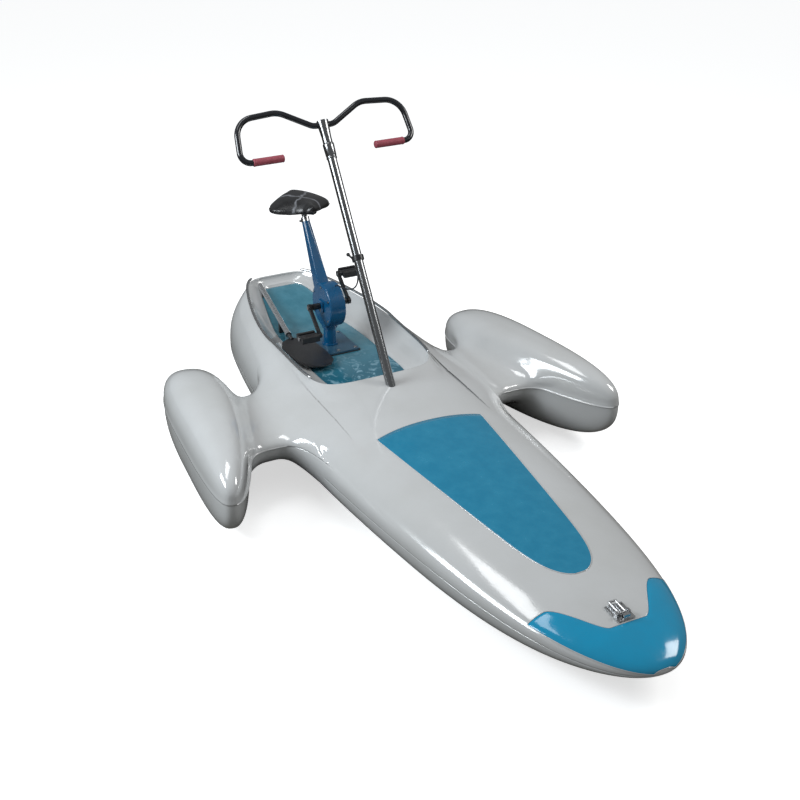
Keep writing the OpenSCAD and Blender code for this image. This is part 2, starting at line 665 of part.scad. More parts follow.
post_up = 42;       // how far the post stands above the column's top
module seat_post() color(STEEL) on_seat() difference() {
    translate([0, 0, seat_len - 190]) cylinder(h = 190 + post_up, r = post_r);
    translate([0, 0, seat_len - 191]) cylinder(h = 192 + post_up, r = post_r - 2.5);
}

saddle_x = -1170;   // tip of the nose
post_top = seat_root + seat_dir * (seat_len + post_up);
saddle_low = post_top[2] + 28;
function saddle_u(x) = clamp01((saddle_x - x) / saddle_len);

// Half width of the saddle: a short nose, then two broad wings, closed round at both ends.
function saddle_half(u) =
    let (w = lerp(38, saddle_w / 2, smooth((u - 0.12) / 0.5)),
         nose = sqrt(1 - pow(clamp01(1 - u / 0.14), 2)), rear = pow(1 - pow(clamp01((u - 0.62) / 0.38), 2.4), 0.5))
    w * nose * rear;

// Height of the saddle's skin over its base line; r is 0 in the middle and 1 at the edge.
function saddle_top(u, r) = 42 + 8 * smooth((u - 0.3) / 0.6) - 50 * pow(r, 2.2) * (0.3 + 0.7 * smooth(u / 0.5));
saddle_rows = [for (i = [0 : 14]) 0.5 - 0.498 * cos(180 * i / 14)];
saddle_cols = [for (j = [0 : 12]) sin(-90 + 15 * j)];
module saddle_cover() color(BLACK) {
    low = [for (r = saddle_cols) for (u = saddle_rows)
        [saddle_x - saddle_len * u, saddle_half(u) * r, saddle_low + saddle_top(u, abs(r)) - 34 * (1 - 0.55 * r * r)]];
    high = [for (r = saddle_cols) for (u = saddle_rows)
        [saddle_x - saddle_len * u, saddle_half(u) * r, saddle_low + saddle_top(u, abs(r))]];
    plate_between(high, low, len(saddle_cols), len(saddle_rows));
}

function base_top(u, r) = saddle_low + saddle_top(u, r) - 34 * (1 - 0.55 * r * r) - 3.4;
module saddle_base() color(BLACK) {
    low = [for (r = saddle_cols) for (u = saddle_rows)
        [saddle_x - saddle_len * lerp(0.06, 0.94, u), saddle_half(u) * r * 0.8,
         base_top(u, abs(r) * 0.86) - 6]];
    high = [for (r = saddle_cols) for (u = saddle_rows)
        [saddle_x - saddle_len * lerp(0.06, 0.94, u), saddle_half(u) * r * 0.8, base_top(u, abs(r) * 0.86)]];
    plate_between(high, low, len(saddle_cols), len(saddle_rows));
}

// Two rails under the saddle, held in a clamp on the post.
rail_r = 3.5;
rail_y = 21;
rail_z = post_top[2] + 17;
module saddle_rails() color(STEEL) {
    for (s = [-1, 1])
        translate([0, s * rail_y, 0])
            swept_tube(rounded_path([[saddle_x - 78, 0, saddle_low - 6], [saddle_x - 96, 0, rail_z],
                [saddle_x - 206, 0, rail_z], [saddle_x - 236, 0, saddle_low]], [0, 12, 12, 0], [0, 3, 3, 0]),
                rail_r, 10, [0, 1, 0]);
    translate([post_top[0] - 4, 0, rail_z]) difference() {
        translate([-20, -32, -8.6]) cube([40, 64, 16.2]);
        for (s = [-1, 1])
            translate([-30, s * rail_y, 0]) rotate([0, 90, 0]) cylinder(h = 60, r = rail_r + run);
    }
}

// A straight round rod from a to b.
module rod(a, b, r) {
    d = b - a;
    translate(a) rotate([0, acos(d[2] / norm(d)), atan2(d[1], d[0])]) cylinder(h = norm(d), r = r);
}

// ----- cranks and pedals -----

spindle_half = 112;
arm_t = 14;
arm_in = spindle_half - arm_t;
arm_r = 15;
module on_arm(s) at_spindle() rotate([0, s < 0 ? -crank_angle : 180 - crank_angle, 0]) children();

module crank_spindle() color(BLACK) at_spindle() {
    along_y(-arm_in + gap, arm_in - gap, spindle_r);
    for (s = [-1, 1]) mirror([0, s < 0 ? 1 : 0, 0])
        along_y(case_half + gap + flange_t + 4.7, arm_in - 7, spindle_r + 6);
}

module crank_arm(s) color(BLACK) on_arm(s) {
    y0 = s < 0 ? -spindle_half : arm_in;
    difference() {
        union() {
            translate([-arm_r * 0.6, y0, -crank_len]) cube([arm_r * 1.2, arm_t, crank_len]);
            along_y(y0, y0 + arm_t, arm_r + 3);
            translate([0, 0, -crank_len]) along_y(y0, y0 + arm_t, arm_r);
        }
        along_y(y0 - 1, y0 + arm_t + 1, 5 + gap);
        translate([0, 0, -crank_len]) along_y(y0 - 1, y0 + arm_t + 1, 7 + gap);
    }
}
module crank_arm_starboard() crank_arm(-1);
module crank_arm_port() crank_arm(1);

axle_r = 7;
pedal_in = spindle_half + 8;
pedal_out = pedal_in + 92;
// A bolt holds each arm on the spindle, and a pedal axle is screwed into each arm's end.
module crank_bolts() color(STEEL)
    for (s = [-1, 1]) on_arm(s) mirror([0, s < 0 ? 1 : 0, 0]) {
        along_y(arm_in, spindle_half, 5);
        along_y(spindle_half + gap, spindle_half + 5, 9);
        along_y(spindle_half - 1, spindle_half + 1, 5);
        translate([0, 0, -crank_len]) along_y(arm_in + 0.5, pedal_out + 3, axle_r);
        translate([0, 0, -crank_len]) along_y(pedal_out + 3, pedal_out + 6, axle_r + 3);
    }

module pedal(s) color(BLACK)
    on_arm(s) translate([0, 0, -crank_len]) rotate([0, s < 0 ? crank_angle : crank_angle - 180, 0])
        mirror([0, s < 0 ? 1 : 0, 0]) difference() {
            union() {
                along_y(pedal_in, pedal_out, 15);
                for (x = [-38, 24])
                    translate([x, pedal_in, -13]) cube([14, pedal_out - pedal_in, 26]);
                for (y = [pedal_in, pedal_out - 8])
                    translate([-38, y, -10]) cube([76, 8, 20]);
            }
            along_y(pedal_in - 1, pedal_out + 1, axle_r + run);
        }
module pedal_starboard() pedal(-1);
module pedal_port() pedal(1);

// ----- gears: a face gear with radial teeth, and a spur pinion that meshes with it -----

tooth_h = 4.4;
module face_gear(r, n, hub_t, rib) {
    // axis +Z, teeth on the top; a tooth is centred on +X
    difference() {
        cylinder(h = hub_t, r = r + 7);
        translate([0, 0, -1]) cylinder(h = hub_t + 2, r = r * 0.28);
    }
    for (k = [0 : n - 1])
        rotate([0, 0, 360 * k / n]) translate([r - 4, -rib / 2, hub_t - 1]) cube([9.5, rib, tooth_h + 1]);
}
module pinion_outline(r, n) polygon([for (k = [0 : n - 1]) for (q = [0 : 3])
    let (a = 360 / n * (k + [0.3, 0.42, 0.58, 0.7][q]), d = (q == 0 || q == 3) ? r - 2.4 : r + 1.9)
    [d * cos(a), d * sin(a)]]);

crown_n = 40;
crown_r = 60;
pinion_n = 10;
pinion_r = crown_r * pinion_n / crown_n;
lower_n = 12;
lower_r = 12;
prop_gear_n = 16;
prop_gear_r = lower_r * prop_gear_n / lower_n;
hub_t = 8;
mesh_gap = 2.4;     // from the gear's face to the pinion's pitch line

module crown_gear() color(STEEL) at_spindle() {
    translate([0, -pinion_r - mesh_gap - hub_t, 0]) rotate([-90, 0, 0]) rotate([0, 0, 90])
        difference() {
            face_gear(crown_r, crown_n, hub_t, 2.5);
            translate([0, 0, -2]) cylinder(h = hub_t + 4, r = spindle_r + 0.2);
        }
    translate([0, -pinion_r - mesh_gap - hub_t - 4, 0]) difference() {
        along_y(0, 4, spindle_r + 10);
        along_y(-1, 5, spindle_r + 0.2);
    }
    for (a = [0, 90, 180, 270])
        rotate([0, a, 0]) translate([spindle_r + 4, -pinion_r - mesh_gap - hub_t, -4]) cube([8, hub_t, 8]);
}

top_pinion_z = crank_h - crown_r;
low_pinion_z = prop_h + prop_gear_r;
module drive_shaft() color(STEEL) at_drive()
    translate([0, 0, low_pinion_z - 6]) cylinder(h = top_pinion_z - low_pinion_z + 14, r = shaft_r);

module shaft_pinions() color(STEEL) at_drive() {
    translate([0, 0, top_pinion_z - 6]) linear_extrude(12) difference() {
        rotate(-90) pinion_outline(pinion_r, pinion_n);
        circle(r = shaft_r + 0.1);
    }
    translate([0, 0, low_pinion_z - 3]) linear_extrude(7) difference() {
        rotate(180) pinion_outline(lower_r, lower_n);
        circle(r = shaft_r + 0.1);
    }
}

module shaft_bearings() color(STEEL) at_drive()
    for (z = [plate_top + 12, tube_top - 20])
        translate([0, 0, z]) difference() {
            cylinder(h = 12, r = tube_bore - run);
            translate([0, 0, -1]) cylinder(h = 14, r = shaft_r + run);
        }

box_r = 42;
box_in = 34;
box_front = drive_x + 120;
box_back = drive_x - 86;
leg_flange_z = tunnel_roof + skin_t + gap;
module drive_leg() color(BLACK) at_drive() difference() {
    union() {
        translate([0, 0, prop_h]) cylinder(h = plate_z - gap - prop_h, r = leg_r);
        translate([0, 0, leg_flange_z]) cylinder(h = 8, r = leg_hole_r + 16);
    }
    translate([0, 0, prop_h - 1]) cylinder(h = plate_z, r = 26);
    translate([-200, 0, prop_h]) rotate([0, 90, 0]) cylinder(h = 400, r = box_r + gap);
}

// A bullet-shaped housing at the foot of the leg.
prop_shaft_r = 6;
module leg_gearbox() color(BLACK) difference() {
    union() {
        translate([box_back, 0, prop_h]) rotate([0, 90, 0]) cylinder(h = box_front - 70 - box_back, r = box_r);
        translate([box_front - 70, 0, prop_h]) rotate([0, 90, 0]) rotate_extrude() difference() {
            intersection() {
                translate([box_r - 80, 0]) circle(r = 80, $fn = 96);
                square([60, 80]);
            }
            translate([-60, -1]) square([60, 90]);
        }
    }
    translate([box_back + 16, 0, prop_h]) rotate([0, 90, 0]) cylinder(h = 104, r = box_in);
    translate([box_back - 1, 0, prop_h]) rotate([0, 90, 0]) cylinder(h = 40, r = prop_shaft_r + run);
    translate([drive_x, 0, prop_h]) cylinder(h = 60, r = shaft_r + run);
}

module propeller_gear() color(STEEL)
    translate([drive_x - lower_r - mesh_gap - hub_t, 0, prop_h]) rotate([0, 90, 0]) rotate([0, 0, 180])
        difference() {
            face_gear(prop_gear_r, prop_gear_n, hub_t, 1.6);
            translate([0, 0, -1]) cylinder(h = hub_t + 2, r = prop_shaft_r + 0.1);
        }

prop_x = drive_x - 150;
module propeller_shaft() color(STEEL)
    translate([prop_x - 46, 0, prop_h]) rotate([0, 90, 0])
        cylinder(h = drive_x - lower_r - mesh_gap - prop_x + 46, r = prop_shaft_r);

// Three raked blades on a hub, and a cone behind it.
module propeller_blade() hull() {
    translate([0, 0, 14]) rotate([0, 0, 52]) scale([1, 1, 1]) cube([34, 5, 2], center = true);
    translate([0, 0, prop_d * 0.34]) rotate([0, 0, 30]) cube([58, 4, 2], center = true);
    translate([0, 0, prop_d / 2 - 3]) rotate([0, 0, 18]) cube([26, 2, 2], center = true);
}
module propeller() color(BLACK) translate([prop_x, 0, prop_h]) difference() {
    union() {
        translate([-26, 0, 0]) rotate([0, 90, 0]) cylinder(h = 52, r = 20);
        for (k = [0 : 2]) rotate([120 * k + 30, 0, 0]) propeller_blade();
    }
    translate([-60, 0, 0]) rotate([0, 90, 0]) cylinder(h = 120, r = prop_shaft_r + 0.05);
}

// ---------- steering ----------

module on_column() translate([column_x, 0, deck_h]) rotate([0, -lean, 0]) children();

foot_in = 120;      // how far the column reaches below the deck
module steering_tube() color(STEEL) on_column() difference() {
    translate([0, 0, -foot_in]) cylinder(h = foot_in + column_len, r = column_r);
    translate([0, 0, -foot_in - 1]) cylinder(h = foot_in + column_len + 2, r = column_bore);
}

// A socket under the deck carries the column's foot, and a bush in each end guides the steering shaft.
steer_r = 15;
module column_collar() color(BLACK) on_column() {
    translate([0, 0, -foot_in + 4]) difference() {
        cylinder(h = 70, r = column_r + 9);
        translate([0, 0, -1]) cylinder(h = 72, r = column_r + gap);
    }
    for (z = [-foot_in, column_len - 24])
        translate([0, 0, z]) difference() {
            cylinder(h = 24, r = column_bore - run);
            translate([0, 0, -1]) cylinder(h = 26, r = steer_r + run);
        }
}

bar_s = column_len + 90;    // height of the handlebar's middle along the column
module steering_shaft() color(STEEL) on_column() {
    translate([0, 0, -foot_in - 8]) difference() {
        cylinder(h = foot_in + bar_s - 20, r = steer_r);
        translate([0, 0, 12]) cylinder(h = foot_in + bar_s, r = steer_r - 3);
    }
    translate([0, 0, -foot_in - 18]) cylinder(h = 10, r = steer_r + 8);
    translate([-9, 0, -foot_in - 18]) cube([18, 70, 8]);
}

head_low = column_len + 2;
module handlebar_head() color(STEEL) on_column() difference() {
    union() {
        translate([0, 0, head_low]) cylinder(h = 30, r = column_r + 1);
        translate([0, 0, head_low + 30]) cylinder(h = 66, r1 = column_r + 1, r2 = column_r + 6);
        translate([0, 0, head_low + 96]) cylinder(h = 12, r = column_r + 6);
    }
    translate([0, 0, head_low - 1]) cylinder(h = bar_s - 26 - head_low, r = steer_r + 0.2);
    translate([0, -60, bar_s]) rotate([-90, 0, 0]) cylinder(h = 120, r = bar_r + 0.1);
}

// Half of the handlebar's line: up and out, round the corner, down and back in to the grip.
bar_rise = 88;
bar_drop = 216;
bar_out = bar_w / 2;
grip_in = bar_out - 206;
bar_line = [[0, 0, bar_s], [0, 52, bar_s], [0, 210, bar_s + bar_rise], [0, bar_out - 22, bar_s + bar_rise - 14],
    [0, bar_out, bar_s + bar_rise - bar_drop], [0, grip_in, bar_s + bar_rise - bar_drop]];
bar_half = rounded_path(bar_line, [0, 70, 120, 95, 46, 0], [0, 4, 4, 7, 7, 0]);
module handlebar() color(BLACK) on_column()
    swept_tube(concat([for (k = [len(bar_half) - 1 : -1 : 1]) [0, -bar_half[k][1], bar_half[k][2]]],
        [for (k = [1 : len(bar_half) - 1]) bar_half[k]]), bar_r, 16, [1, 0, 0]);

grip_t = 3.5;
module handlebar_grips() color([0.72, 0.26, 0.34]) on_column()
    for (s = [-1, 1]) mirror([0, s < 0 ? 1 : 0, 0])
        translate([0, grip_in - 5, bar_s + bar_rise - bar_drop]) difference() {
            along_y(0, grip_len, bar_r + grip_t);
            along_y(5 - gap, grip_len + 1, bar_r + 0.1);
        }

// A small lever in a clamp on the column works the drive's neutral through a cable.
clamp_s = 600;
lever_pin = [-column_r - 22, 0, clamp_s + 12];
module lever_clamp() color(BLACK) on_column() difference() {
    union() {
        translate([0, 0, clamp_s]) cylinder(h = 24, r = column_r + 7);
        for (y = [-9, 5])
            translate([-column_r - 28, y, clamp_s + 2]) cube([28, 4, 20]);
        translate([lever_pin[0], 0, lever_pin[2]]) along_y(-9, 9, 3);
    }
    translate([0, 0, clamp_s - 1]) cylinder(h = 26, r = column_r + gap);
}
module shift_lever() color(BLACK) on_column() translate(lever_pin) difference() {
    union() {
        along_y(-4.5, 4.5, 7);
        rotate([0, -52, 0]) translate([0, 0, 34]) cube([7, 7, 56], center = true);
        rotate([0, -52, 0]) translate([0, 0, 66]) sphere(r = 9);
    }
    along_y(-6, 6, 3 + run);
}

// The cable hangs in one bow from under the clamp to the top of the gear case.
cable_r = 3.5;
cable_path = [[-712, 0, 868], [-706, 0, 846], [-700, 0, 820], [-702, 0, 790], [-716, 0, 762], [-742, 1, 738],
    [-778, 2, 718], [-820, 4, 702], [-864, 6, 690], [-906, 9, 681], [-940, 12, 674], [-964, 14, 666],
    [-976, 15, 660], [-979, 15, 654.5]];
module control_cable() color(BLACK)
    swept_tube(cable_path, cable_r, 10, [0, 1, 0]);

// ---------- bow fitting ----------

fit_x = 1424;
fit_z = deck_z(fit_x, 0);
pin_x = fit_x + 30;
loop_r = 4;
fit_tilt = atan((deck_z(fit_x - 30, 0) - deck_z(fit_x + 60, 0)) / 90);
module at_fitting() translate([fit_x, 0, fit_z + 2]) rotate([0, fit_tilt, 0]) translate([-fit_x, 0, 0]) children();
module bow_plate() color(STEEL) at_fitting() difference() {
    union() {
        translate([fit_x - 30, -38, 0]) cube([90, 76, 4]);
        for (y = [-30, 20]) translate([pin_x - 9, y, 0]) cube([18, 10, 20]);
        translate([fit_x + 44, -14, 0]) cube([14, 28, 24]);
    }
    translate([pin_x, 0, 13]) along_y(-40, 40, loop_r + run);
    translate([fit_x + 51, 0, 14]) along_y(-20, 20, 6);
    for (x = [-22, 26], y = [-30, 30])
        translate([fit_x + x + 4, y * (x > 0 ? 0.4 : 1), -1]) cylinder(h = 8, r = 3);
}
module bow_loop() color(STEEL) at_fitting() translate([pin_x, 0, 13]) {
    along_y(-31, 31, loop_r);
    for (y = [-14, 14]) translate([0, y, 0]) rotate([0, -90, 0]) cylinder(h = 66, r = loop_r);
    translate([-66, 0, 0]) along_y(-14 - loop_r, 14 + loop_r, loop_r);
}

// ---------- stowed paddle ----------

paddle_back = [-1640, -112, 440];
paddle_neck = [-1150, -172, 374];
paddle_dir = unit(paddle_neck - paddle_back);
paddle_r = paddle_d / 2;
module paddle_shaft() color(STEEL) {
    rod(paddle_back, paddle_neck, paddle_r);
    rod(paddle_neck + paddle_dir * gap, paddle_neck + paddle_dir * 14, paddle_r + 2);
}

// The blade is a broad flat board. It lies over the sole with one edge on the ledge of the cockpit wall.
blade_half = 96;
blade_h = 358;
module paddle_blade() color(BLACK) {
    start = paddle_neck + paddle_dir * 17;
    foot = [paddle_neck[0] + 36, paddle_neck[1] + 1, blade_h + 2];
    rod(start, foot + [14, 0, 0], 10);
    translate(foot) rotate([0, 0.4, 1.5]) rotate([-4.6, 0, 0]) translate([0, 0, -3]) linear_extrude(6)
        polygon([[0, -12], [34, -66], [90, -blade_half + 4], [200, -blade_half], [blade_len + 10, -blade_half + 10],
            [blade_len + 56, -50], [blade_len + 66, 0], [blade_len + 56, 50], [blade_len + 10, blade_half - 10],
            [200, blade_half], [90, blade_half - 4], [34, 66], [0, 12]]);
}
clip_share = [0.15, 0.75];
module paddle_clips() color(BLACK)
    for (t = clip_share) {
        p = lerp(paddle_back, paddle_neck, t);
        foot = sole_z(p[0] - 8) + gap + 0.2;
        difference() {
            translate([p[0] - 8, p[1] - 10, foot]) cube([16, 28, p[2] - foot - 8]);
            rod(p - paddle_dir * 30, p + paddle_dir * 30, paddle_r + 0.6);
        }
    }

// ---------- rudder and its cable ----------

stock_r = 8;
stock_low = 196;
stock_high = 292;
module rudder_stock() color(STEEL) translate([rudder_x, 0, 0]) {
    translate([0, 0, stock_low]) cylinder(h = stock_high - stock_low, r = stock_r);
    translate([0, 0, stock_high - 18]) cylinder(h = 14, r = stock_r + 8);
    translate([0, -7, stock_high - 15]) cube([72, 14, 8]);
}
module rudder_blade() color(BLACK) translate([rudder_x, 0, 0]) {
    translate([0, 0, stock_low - 40]) difference() {
        cylinder(h = 60, r = 14);
        translate([0, 0, 40 - gap]) cylinder(h = 30, r = stock_r + 0.1);
    }
    translate([0, 0, 24]) linear_extrude(140) polygon([for (a = [0 : 15 : 345])
        [-30 + 78 * cos(a), 7 * sin(a) * (1 + 0.5 * cos(a))]]);
}
module rudder_trunk() color(STEEL) translate([rudder_x, 0, 0]) difference() {
    union() {
        translate([0, 0, tunnel_roof - 6]) cylinder(h = 44, r = trunk_r);
        translate([0, 0, tunnel_roof + skin_t + gap]) cylinder(h = 6, r = trunk_r + 14);
    }
    translate([0, 0, tunnel_roof - 8]) cylinder(h = 60, r = stock_r + run);
}

steer_path = [[-300, 90, 280], [-330, 104, 276], [-380, 118, 272], [-440, 134, 270], [-520, 150, 268],
    [-620, 160, 268], [-720, 166, 268], [-820, 168, 268], [-920, 168, 268], [-1020, 168, 268], [-1120, 166, 268],
    [-1220, 160, 268], [-1310, 146, 270], [-1380, 122, 273], [-1430, 92, 276], [-1460, 60, 279], [-1472, 30, 281]];
module steering_cable() color(BLACK)
    swept_tube(steer_path, 5, 8, [0, 0, 1]);

hull_moulding();
deck_moulding();
outrigger_top_port();
outrigger_top_starboard();
outrigger_bottom_port();
outrigger_bottom_starboard();
keel_strip();
foredeck_panel();
bow_cap();
cockpit_sole();
aft_sole();
coaming_trim();
drive_plate();
plate_gasket();
plate_screws();
pedestal_tube();
gear_case_starboard();
gear_case_port();
case_screws();
seat_column();
seat_clamp();
seat_post();
saddle_base();
saddle_rails();
saddle_cover();
spindle_bearings();
bearing_flanges();
crank_spindle();
crank_arm_starboard();
crank_arm_port();
crank_bolts();
pedal_starboard();
pedal_port();
crown_gear();
drive_shaft();
shaft_pinions();
shaft_bearings();
drive_leg();
leg_gearbox();
propeller_gear();
propeller_shaft();
propeller();
steering_tube();
column_collar();
steering_shaft();
handlebar_head();
handlebar();
handlebar_grips();
shift_lever();
lever_clamp();
control_cable();
bow_plate();
bow_loop();
paddle_shaft();
paddle_blade();
paddle_clips();
rudder_blade();
rudder_stock();
rudder_trunk();
steering_cable();
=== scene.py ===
# %% [markdown]
# # A pedal boat, finished in Blender
# The boat is a slender moulded hull with two outrigger floats, a cockpit with a saddle and a pedal
# drive, and a tall leaning handlebar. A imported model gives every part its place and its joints, and
# this lesson dresses it: smooth mouldings worked out from formulas, a padded saddle, rubber grips,
# and a procedural finish for each material. Lengths in the formulas are in millimetres.

# %% Load the frame
import json
import math
import bmesh
import bpy
import numpy as np
from mathutils import Matrix, Vector


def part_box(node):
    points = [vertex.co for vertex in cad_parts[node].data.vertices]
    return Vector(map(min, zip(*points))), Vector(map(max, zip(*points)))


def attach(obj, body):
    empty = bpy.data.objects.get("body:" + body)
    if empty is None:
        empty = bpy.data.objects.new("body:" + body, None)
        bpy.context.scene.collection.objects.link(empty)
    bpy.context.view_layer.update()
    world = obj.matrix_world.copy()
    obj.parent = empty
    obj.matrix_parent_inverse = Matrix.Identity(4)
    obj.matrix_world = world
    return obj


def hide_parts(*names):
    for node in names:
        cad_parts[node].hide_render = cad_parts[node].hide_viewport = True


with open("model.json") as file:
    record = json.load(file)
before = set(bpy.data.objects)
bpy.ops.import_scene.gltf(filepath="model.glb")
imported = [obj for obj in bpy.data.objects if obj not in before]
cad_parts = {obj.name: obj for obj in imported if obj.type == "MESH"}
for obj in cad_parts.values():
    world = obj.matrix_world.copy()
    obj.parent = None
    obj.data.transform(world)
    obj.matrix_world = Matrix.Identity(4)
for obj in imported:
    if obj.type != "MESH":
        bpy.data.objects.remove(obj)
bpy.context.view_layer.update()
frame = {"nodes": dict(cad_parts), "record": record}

# %% [markdown]
# Every new piece comes from whole arrays of points. A grid of points, n rows by m columns, becomes
# a skin of four-sided faces. The helper closes the columns into a ring where the shape goes round,
# turns the faces outwards on request, and stores millimetres as metres.

# %% A skin from a grid of points
def skin(name, grid, ring=False, flip=False, caps=False, body="boat"):
    """A mesh from an (n, m, 3) grid: face (i, j) joins rows i and i+1 at columns j and j+1."""
    n, m = grid.shape[:2]
    cols = m if ring else m - 1
    i, j = np.meshgrid(np.arange(n - 1), np.arange(cols), indexing="ij")
    a, b = i * m + j, i * m + (j + 1) % m
    quads = np.stack([a, b, b + m, a + m], -1).reshape(-1, 4)
    faces = (quads[:, ::-1] if flip else quads).tolist()
    if caps:
        first, last = list(range(m)), list(range((n - 1) * m, n * m))
        faces += [first if flip else first[::-1], last[::-1] if flip else last]
    return mesh_piece(name, grid.reshape(-1, 3), faces, body)


def mesh_piece(name, points, faces, body):
    """A smooth-shaded object at the origin, with its place in its points."""
    mesh = bpy.data.meshes.new(name)
    mesh.from_pydata((np.asarray(points) * 0.001).tolist(), [], faces)
    mesh.polygons.foreach_set("use_smooth", np.ones(len(mesh.polygons), bool))
    mesh.update()
    piece = bpy.data.objects.new(name, mesh)
    bpy.context.scene.collection.objects.link(piece)
    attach(piece, body)
    return piece


def thicken(piece, wall):
    """Gives an open skin its wall, in millimetres, on the side away from its faces."""
    solid = piece.modifiers.new("wall", "SOLIDIFY")
    solid.thickness, solid.offset, solid.use_even_offset = wall * 0.001, -1, False
    return piece


def ease(t):
    """The smooth step: 3 t squared minus 2 t cubed, held between 0 and 1."""
    t = np.clip(t, 0, 1)
    return t * t * (3 - 2 * t)


def blend_rows(points, count):
    """A smooth curve of count samples through rows of points: Catmull-Rom, ends repeated."""
    p = np.asarray(points, float)
    p = np.concatenate([p[:1], p, p[-1:]])
    s = np.linspace(0, len(p) - 3 - 1e-9, count)
    k = s.astype(int)
    u = (s - k).reshape((-1,) + (1,) * (p.ndim - 1))
    a, b, c, d = p[k], p[k + 1], p[k + 2], p[k + 3]
    square, cube = 2 * a - 5 * b + 4 * c - d, 3 * b - a - 3 * c + d
    return 0.5 * (2 * b + (c - a) * u + square * u**2 + cube * u**3)


# %% [markdown]
# ## The hull's form
# The real hull is two mouldings joined at a seam. Across any station each one is a superellipse:
# the height falls as (1 - r^2.6)^(1/2.6), where r is the distance from the middle as a share of the
# half breadth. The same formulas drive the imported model, so the skins land on it.

# %% Hull formulas
HALF_LEN, HALF_BEAM, SEAM, DECK = 1720.0, 490.0, 190.0, 390.0
WIDEST, COLUMN_X, DRIVE_X, HULL_LOW = -305.0, -365.0, -1024.0, 8.3
SKIN_WALL, SEAM_CROWDING, TUNNEL_ROOF = 5.5, 2.4, 230.0


def bow_share(x):
    return np.clip((x - WIDEST) / (HALF_LEN - WIDEST), 0, 1)


def stern_share(x):
    return np.clip((WIDEST - x) / (WIDEST + HALF_LEN), 0, 1)


def half_breadth(x):
    """Half the beam times (1 - 0.42 f^1.7) times the root of (1 - f^8) forward, and a blunter end aft."""
    f, a = bow_share(x), stern_share(x)
    return np.where(x > WIDEST, HALF_BEAM * (1 - 0.42 * f**1.7) * np.sqrt(1 - f**8),
                    HALF_BEAM * (1 - 0.38 * a**1.7) * np.sqrt(1 - a**22))


def end_close(x):
    """Brings the profile down to the seam at both ends."""
    return ((1 - bow_share(x)**10) * (1 - stern_share(x)**26))**0.42


def crown(x):
    return DECK - 0.062 * np.maximum(0, x - COLUMN_X) + 95 * ease((COLUMN_X - x) / 600)


def across(x, y):
    """The superellipse share (1 - r^2.6)^(1/2.6) at a distance y from the middle."""
    r = np.clip(np.abs(y) / np.maximum(1, half_breadth(x)), 0, 1)
    return (1 - r**2.6)**(1 / 2.6)


def deck_height(x, y):
    return SEAM + (crown(x) - SEAM) * end_close(x) * across(x, y)


def keel_height(x):
    f = np.clip((x - 600) / (HALF_LEN - 600), 0, 1)
    a = np.clip((-1000 - x) / (HALF_LEN - 1000), 0, 1)
    return SEAM - (SEAM - HULL_LOW - 150 * f * f - 120 * a * a) * end_close(x)


def bottom_height(x, y):
    return SEAM - (SEAM - keel_height(x)) * across(x, y)


def sole_height(x):
    return 326 + 88 * ease((-1250 - x) / 405)


def rim_height(x):
    return DECK + 8 + 62 * np.clip((-500 - x) / 1200, 0, 1)


def outline(a, front, back, half, taper, ef, ea):
    """A closed loop round the drive for angles a: blunt ends, sharper with larger exponents."""
    u = np.abs(np.cos(a))
    fore = np.cos(a) > 0
    x = np.where(fore, DRIVE_X + (front - DRIVE_X) * u, DRIVE_X - (DRIVE_X - back) * u)
    wide = np.where(fore, (1 - u**ef)**0.2, (1 - taper * u**1.6) * (1 - u**ea)**0.2)
    return np.stack([x, half * wide * np.sign(np.sin(a))], -1)


def seam_reach(a):
    """How far along the boat the seam is, for angles a round the drive."""
    reach = np.where(np.cos(a) > 0, HALF_LEN - DRIVE_X, DRIVE_X + HALF_LEN)
    return DRIVE_X + reach * np.cos(a)


even = 2 * np.pi * (np.arange(320) + 0.5) / 320
crowd = 0.05 * (np.arange(1, 15) / 14)**2.5
turns = np.unique(np.mod(np.concatenate([even, crowd, -crowd, np.pi + crowd, np.pi - crowd]), 2 * np.pi))
AROUND = len(turns)
seam_x = seam_reach(turns)
seam_loop = np.stack([seam_x, half_breadth(seam_x) * np.sign(np.sin(turns))], -1)
sole_loop = outline(turns, -508, -1667, 203, 0.42, 9, 12)
rim_loop = outline(turns, -466, -1698, 324, 0.5, 7, 16)
print("hull length", 2 * HALF_LEN, "mm, beam", 2 * HALF_BEAM, "mm")

# %% [markdown]
# ## Deck and cockpit in one skin
# The deck moulding runs from the seam up to the cockpit rim, turns over it in a soft roll, and drops
# down a coved wall to the flange under the sole. One grid does it all: each row is a loop round the
# boat, from the seam inwards. Rows crowd at the seam, where the superellipse is steep. A low swelling
# carries the foot of the steering column.

# %% Deck moulding
def deck_row(t):
    """A loop of the deck at share t of the way from the seam to the rim, corrected to meet the rim."""
    p = seam_loop * (1 - t) + rim_loop * t
    d = np.linalg.norm(seam_loop - rim_loop, axis=1)
    w = ease(1 - (1 - t) * d / np.minimum(150, d))
    miss = rim_height(rim_loop[:, 0]) - deck_height(rim_loop[:, 0], rim_loop[:, 1])
    z = deck_height(p[:, 0], p[:, 1]) + miss * w
    near = np.hypot(p[:, 0] - COLUMN_X - 4, p[:, 1]) / 62
    return np.column_stack([p, z + 9 * np.exp(-near**2) * (1 - w)])


def wall_row(t, rise):
    p = sole_loop * (1 - t) + rim_loop * t
    low, high = sole_height(sole_loop[:, 0]), rim_height(rim_loop[:, 0])
    return np.column_stack([p, low + (high - low) * rise])


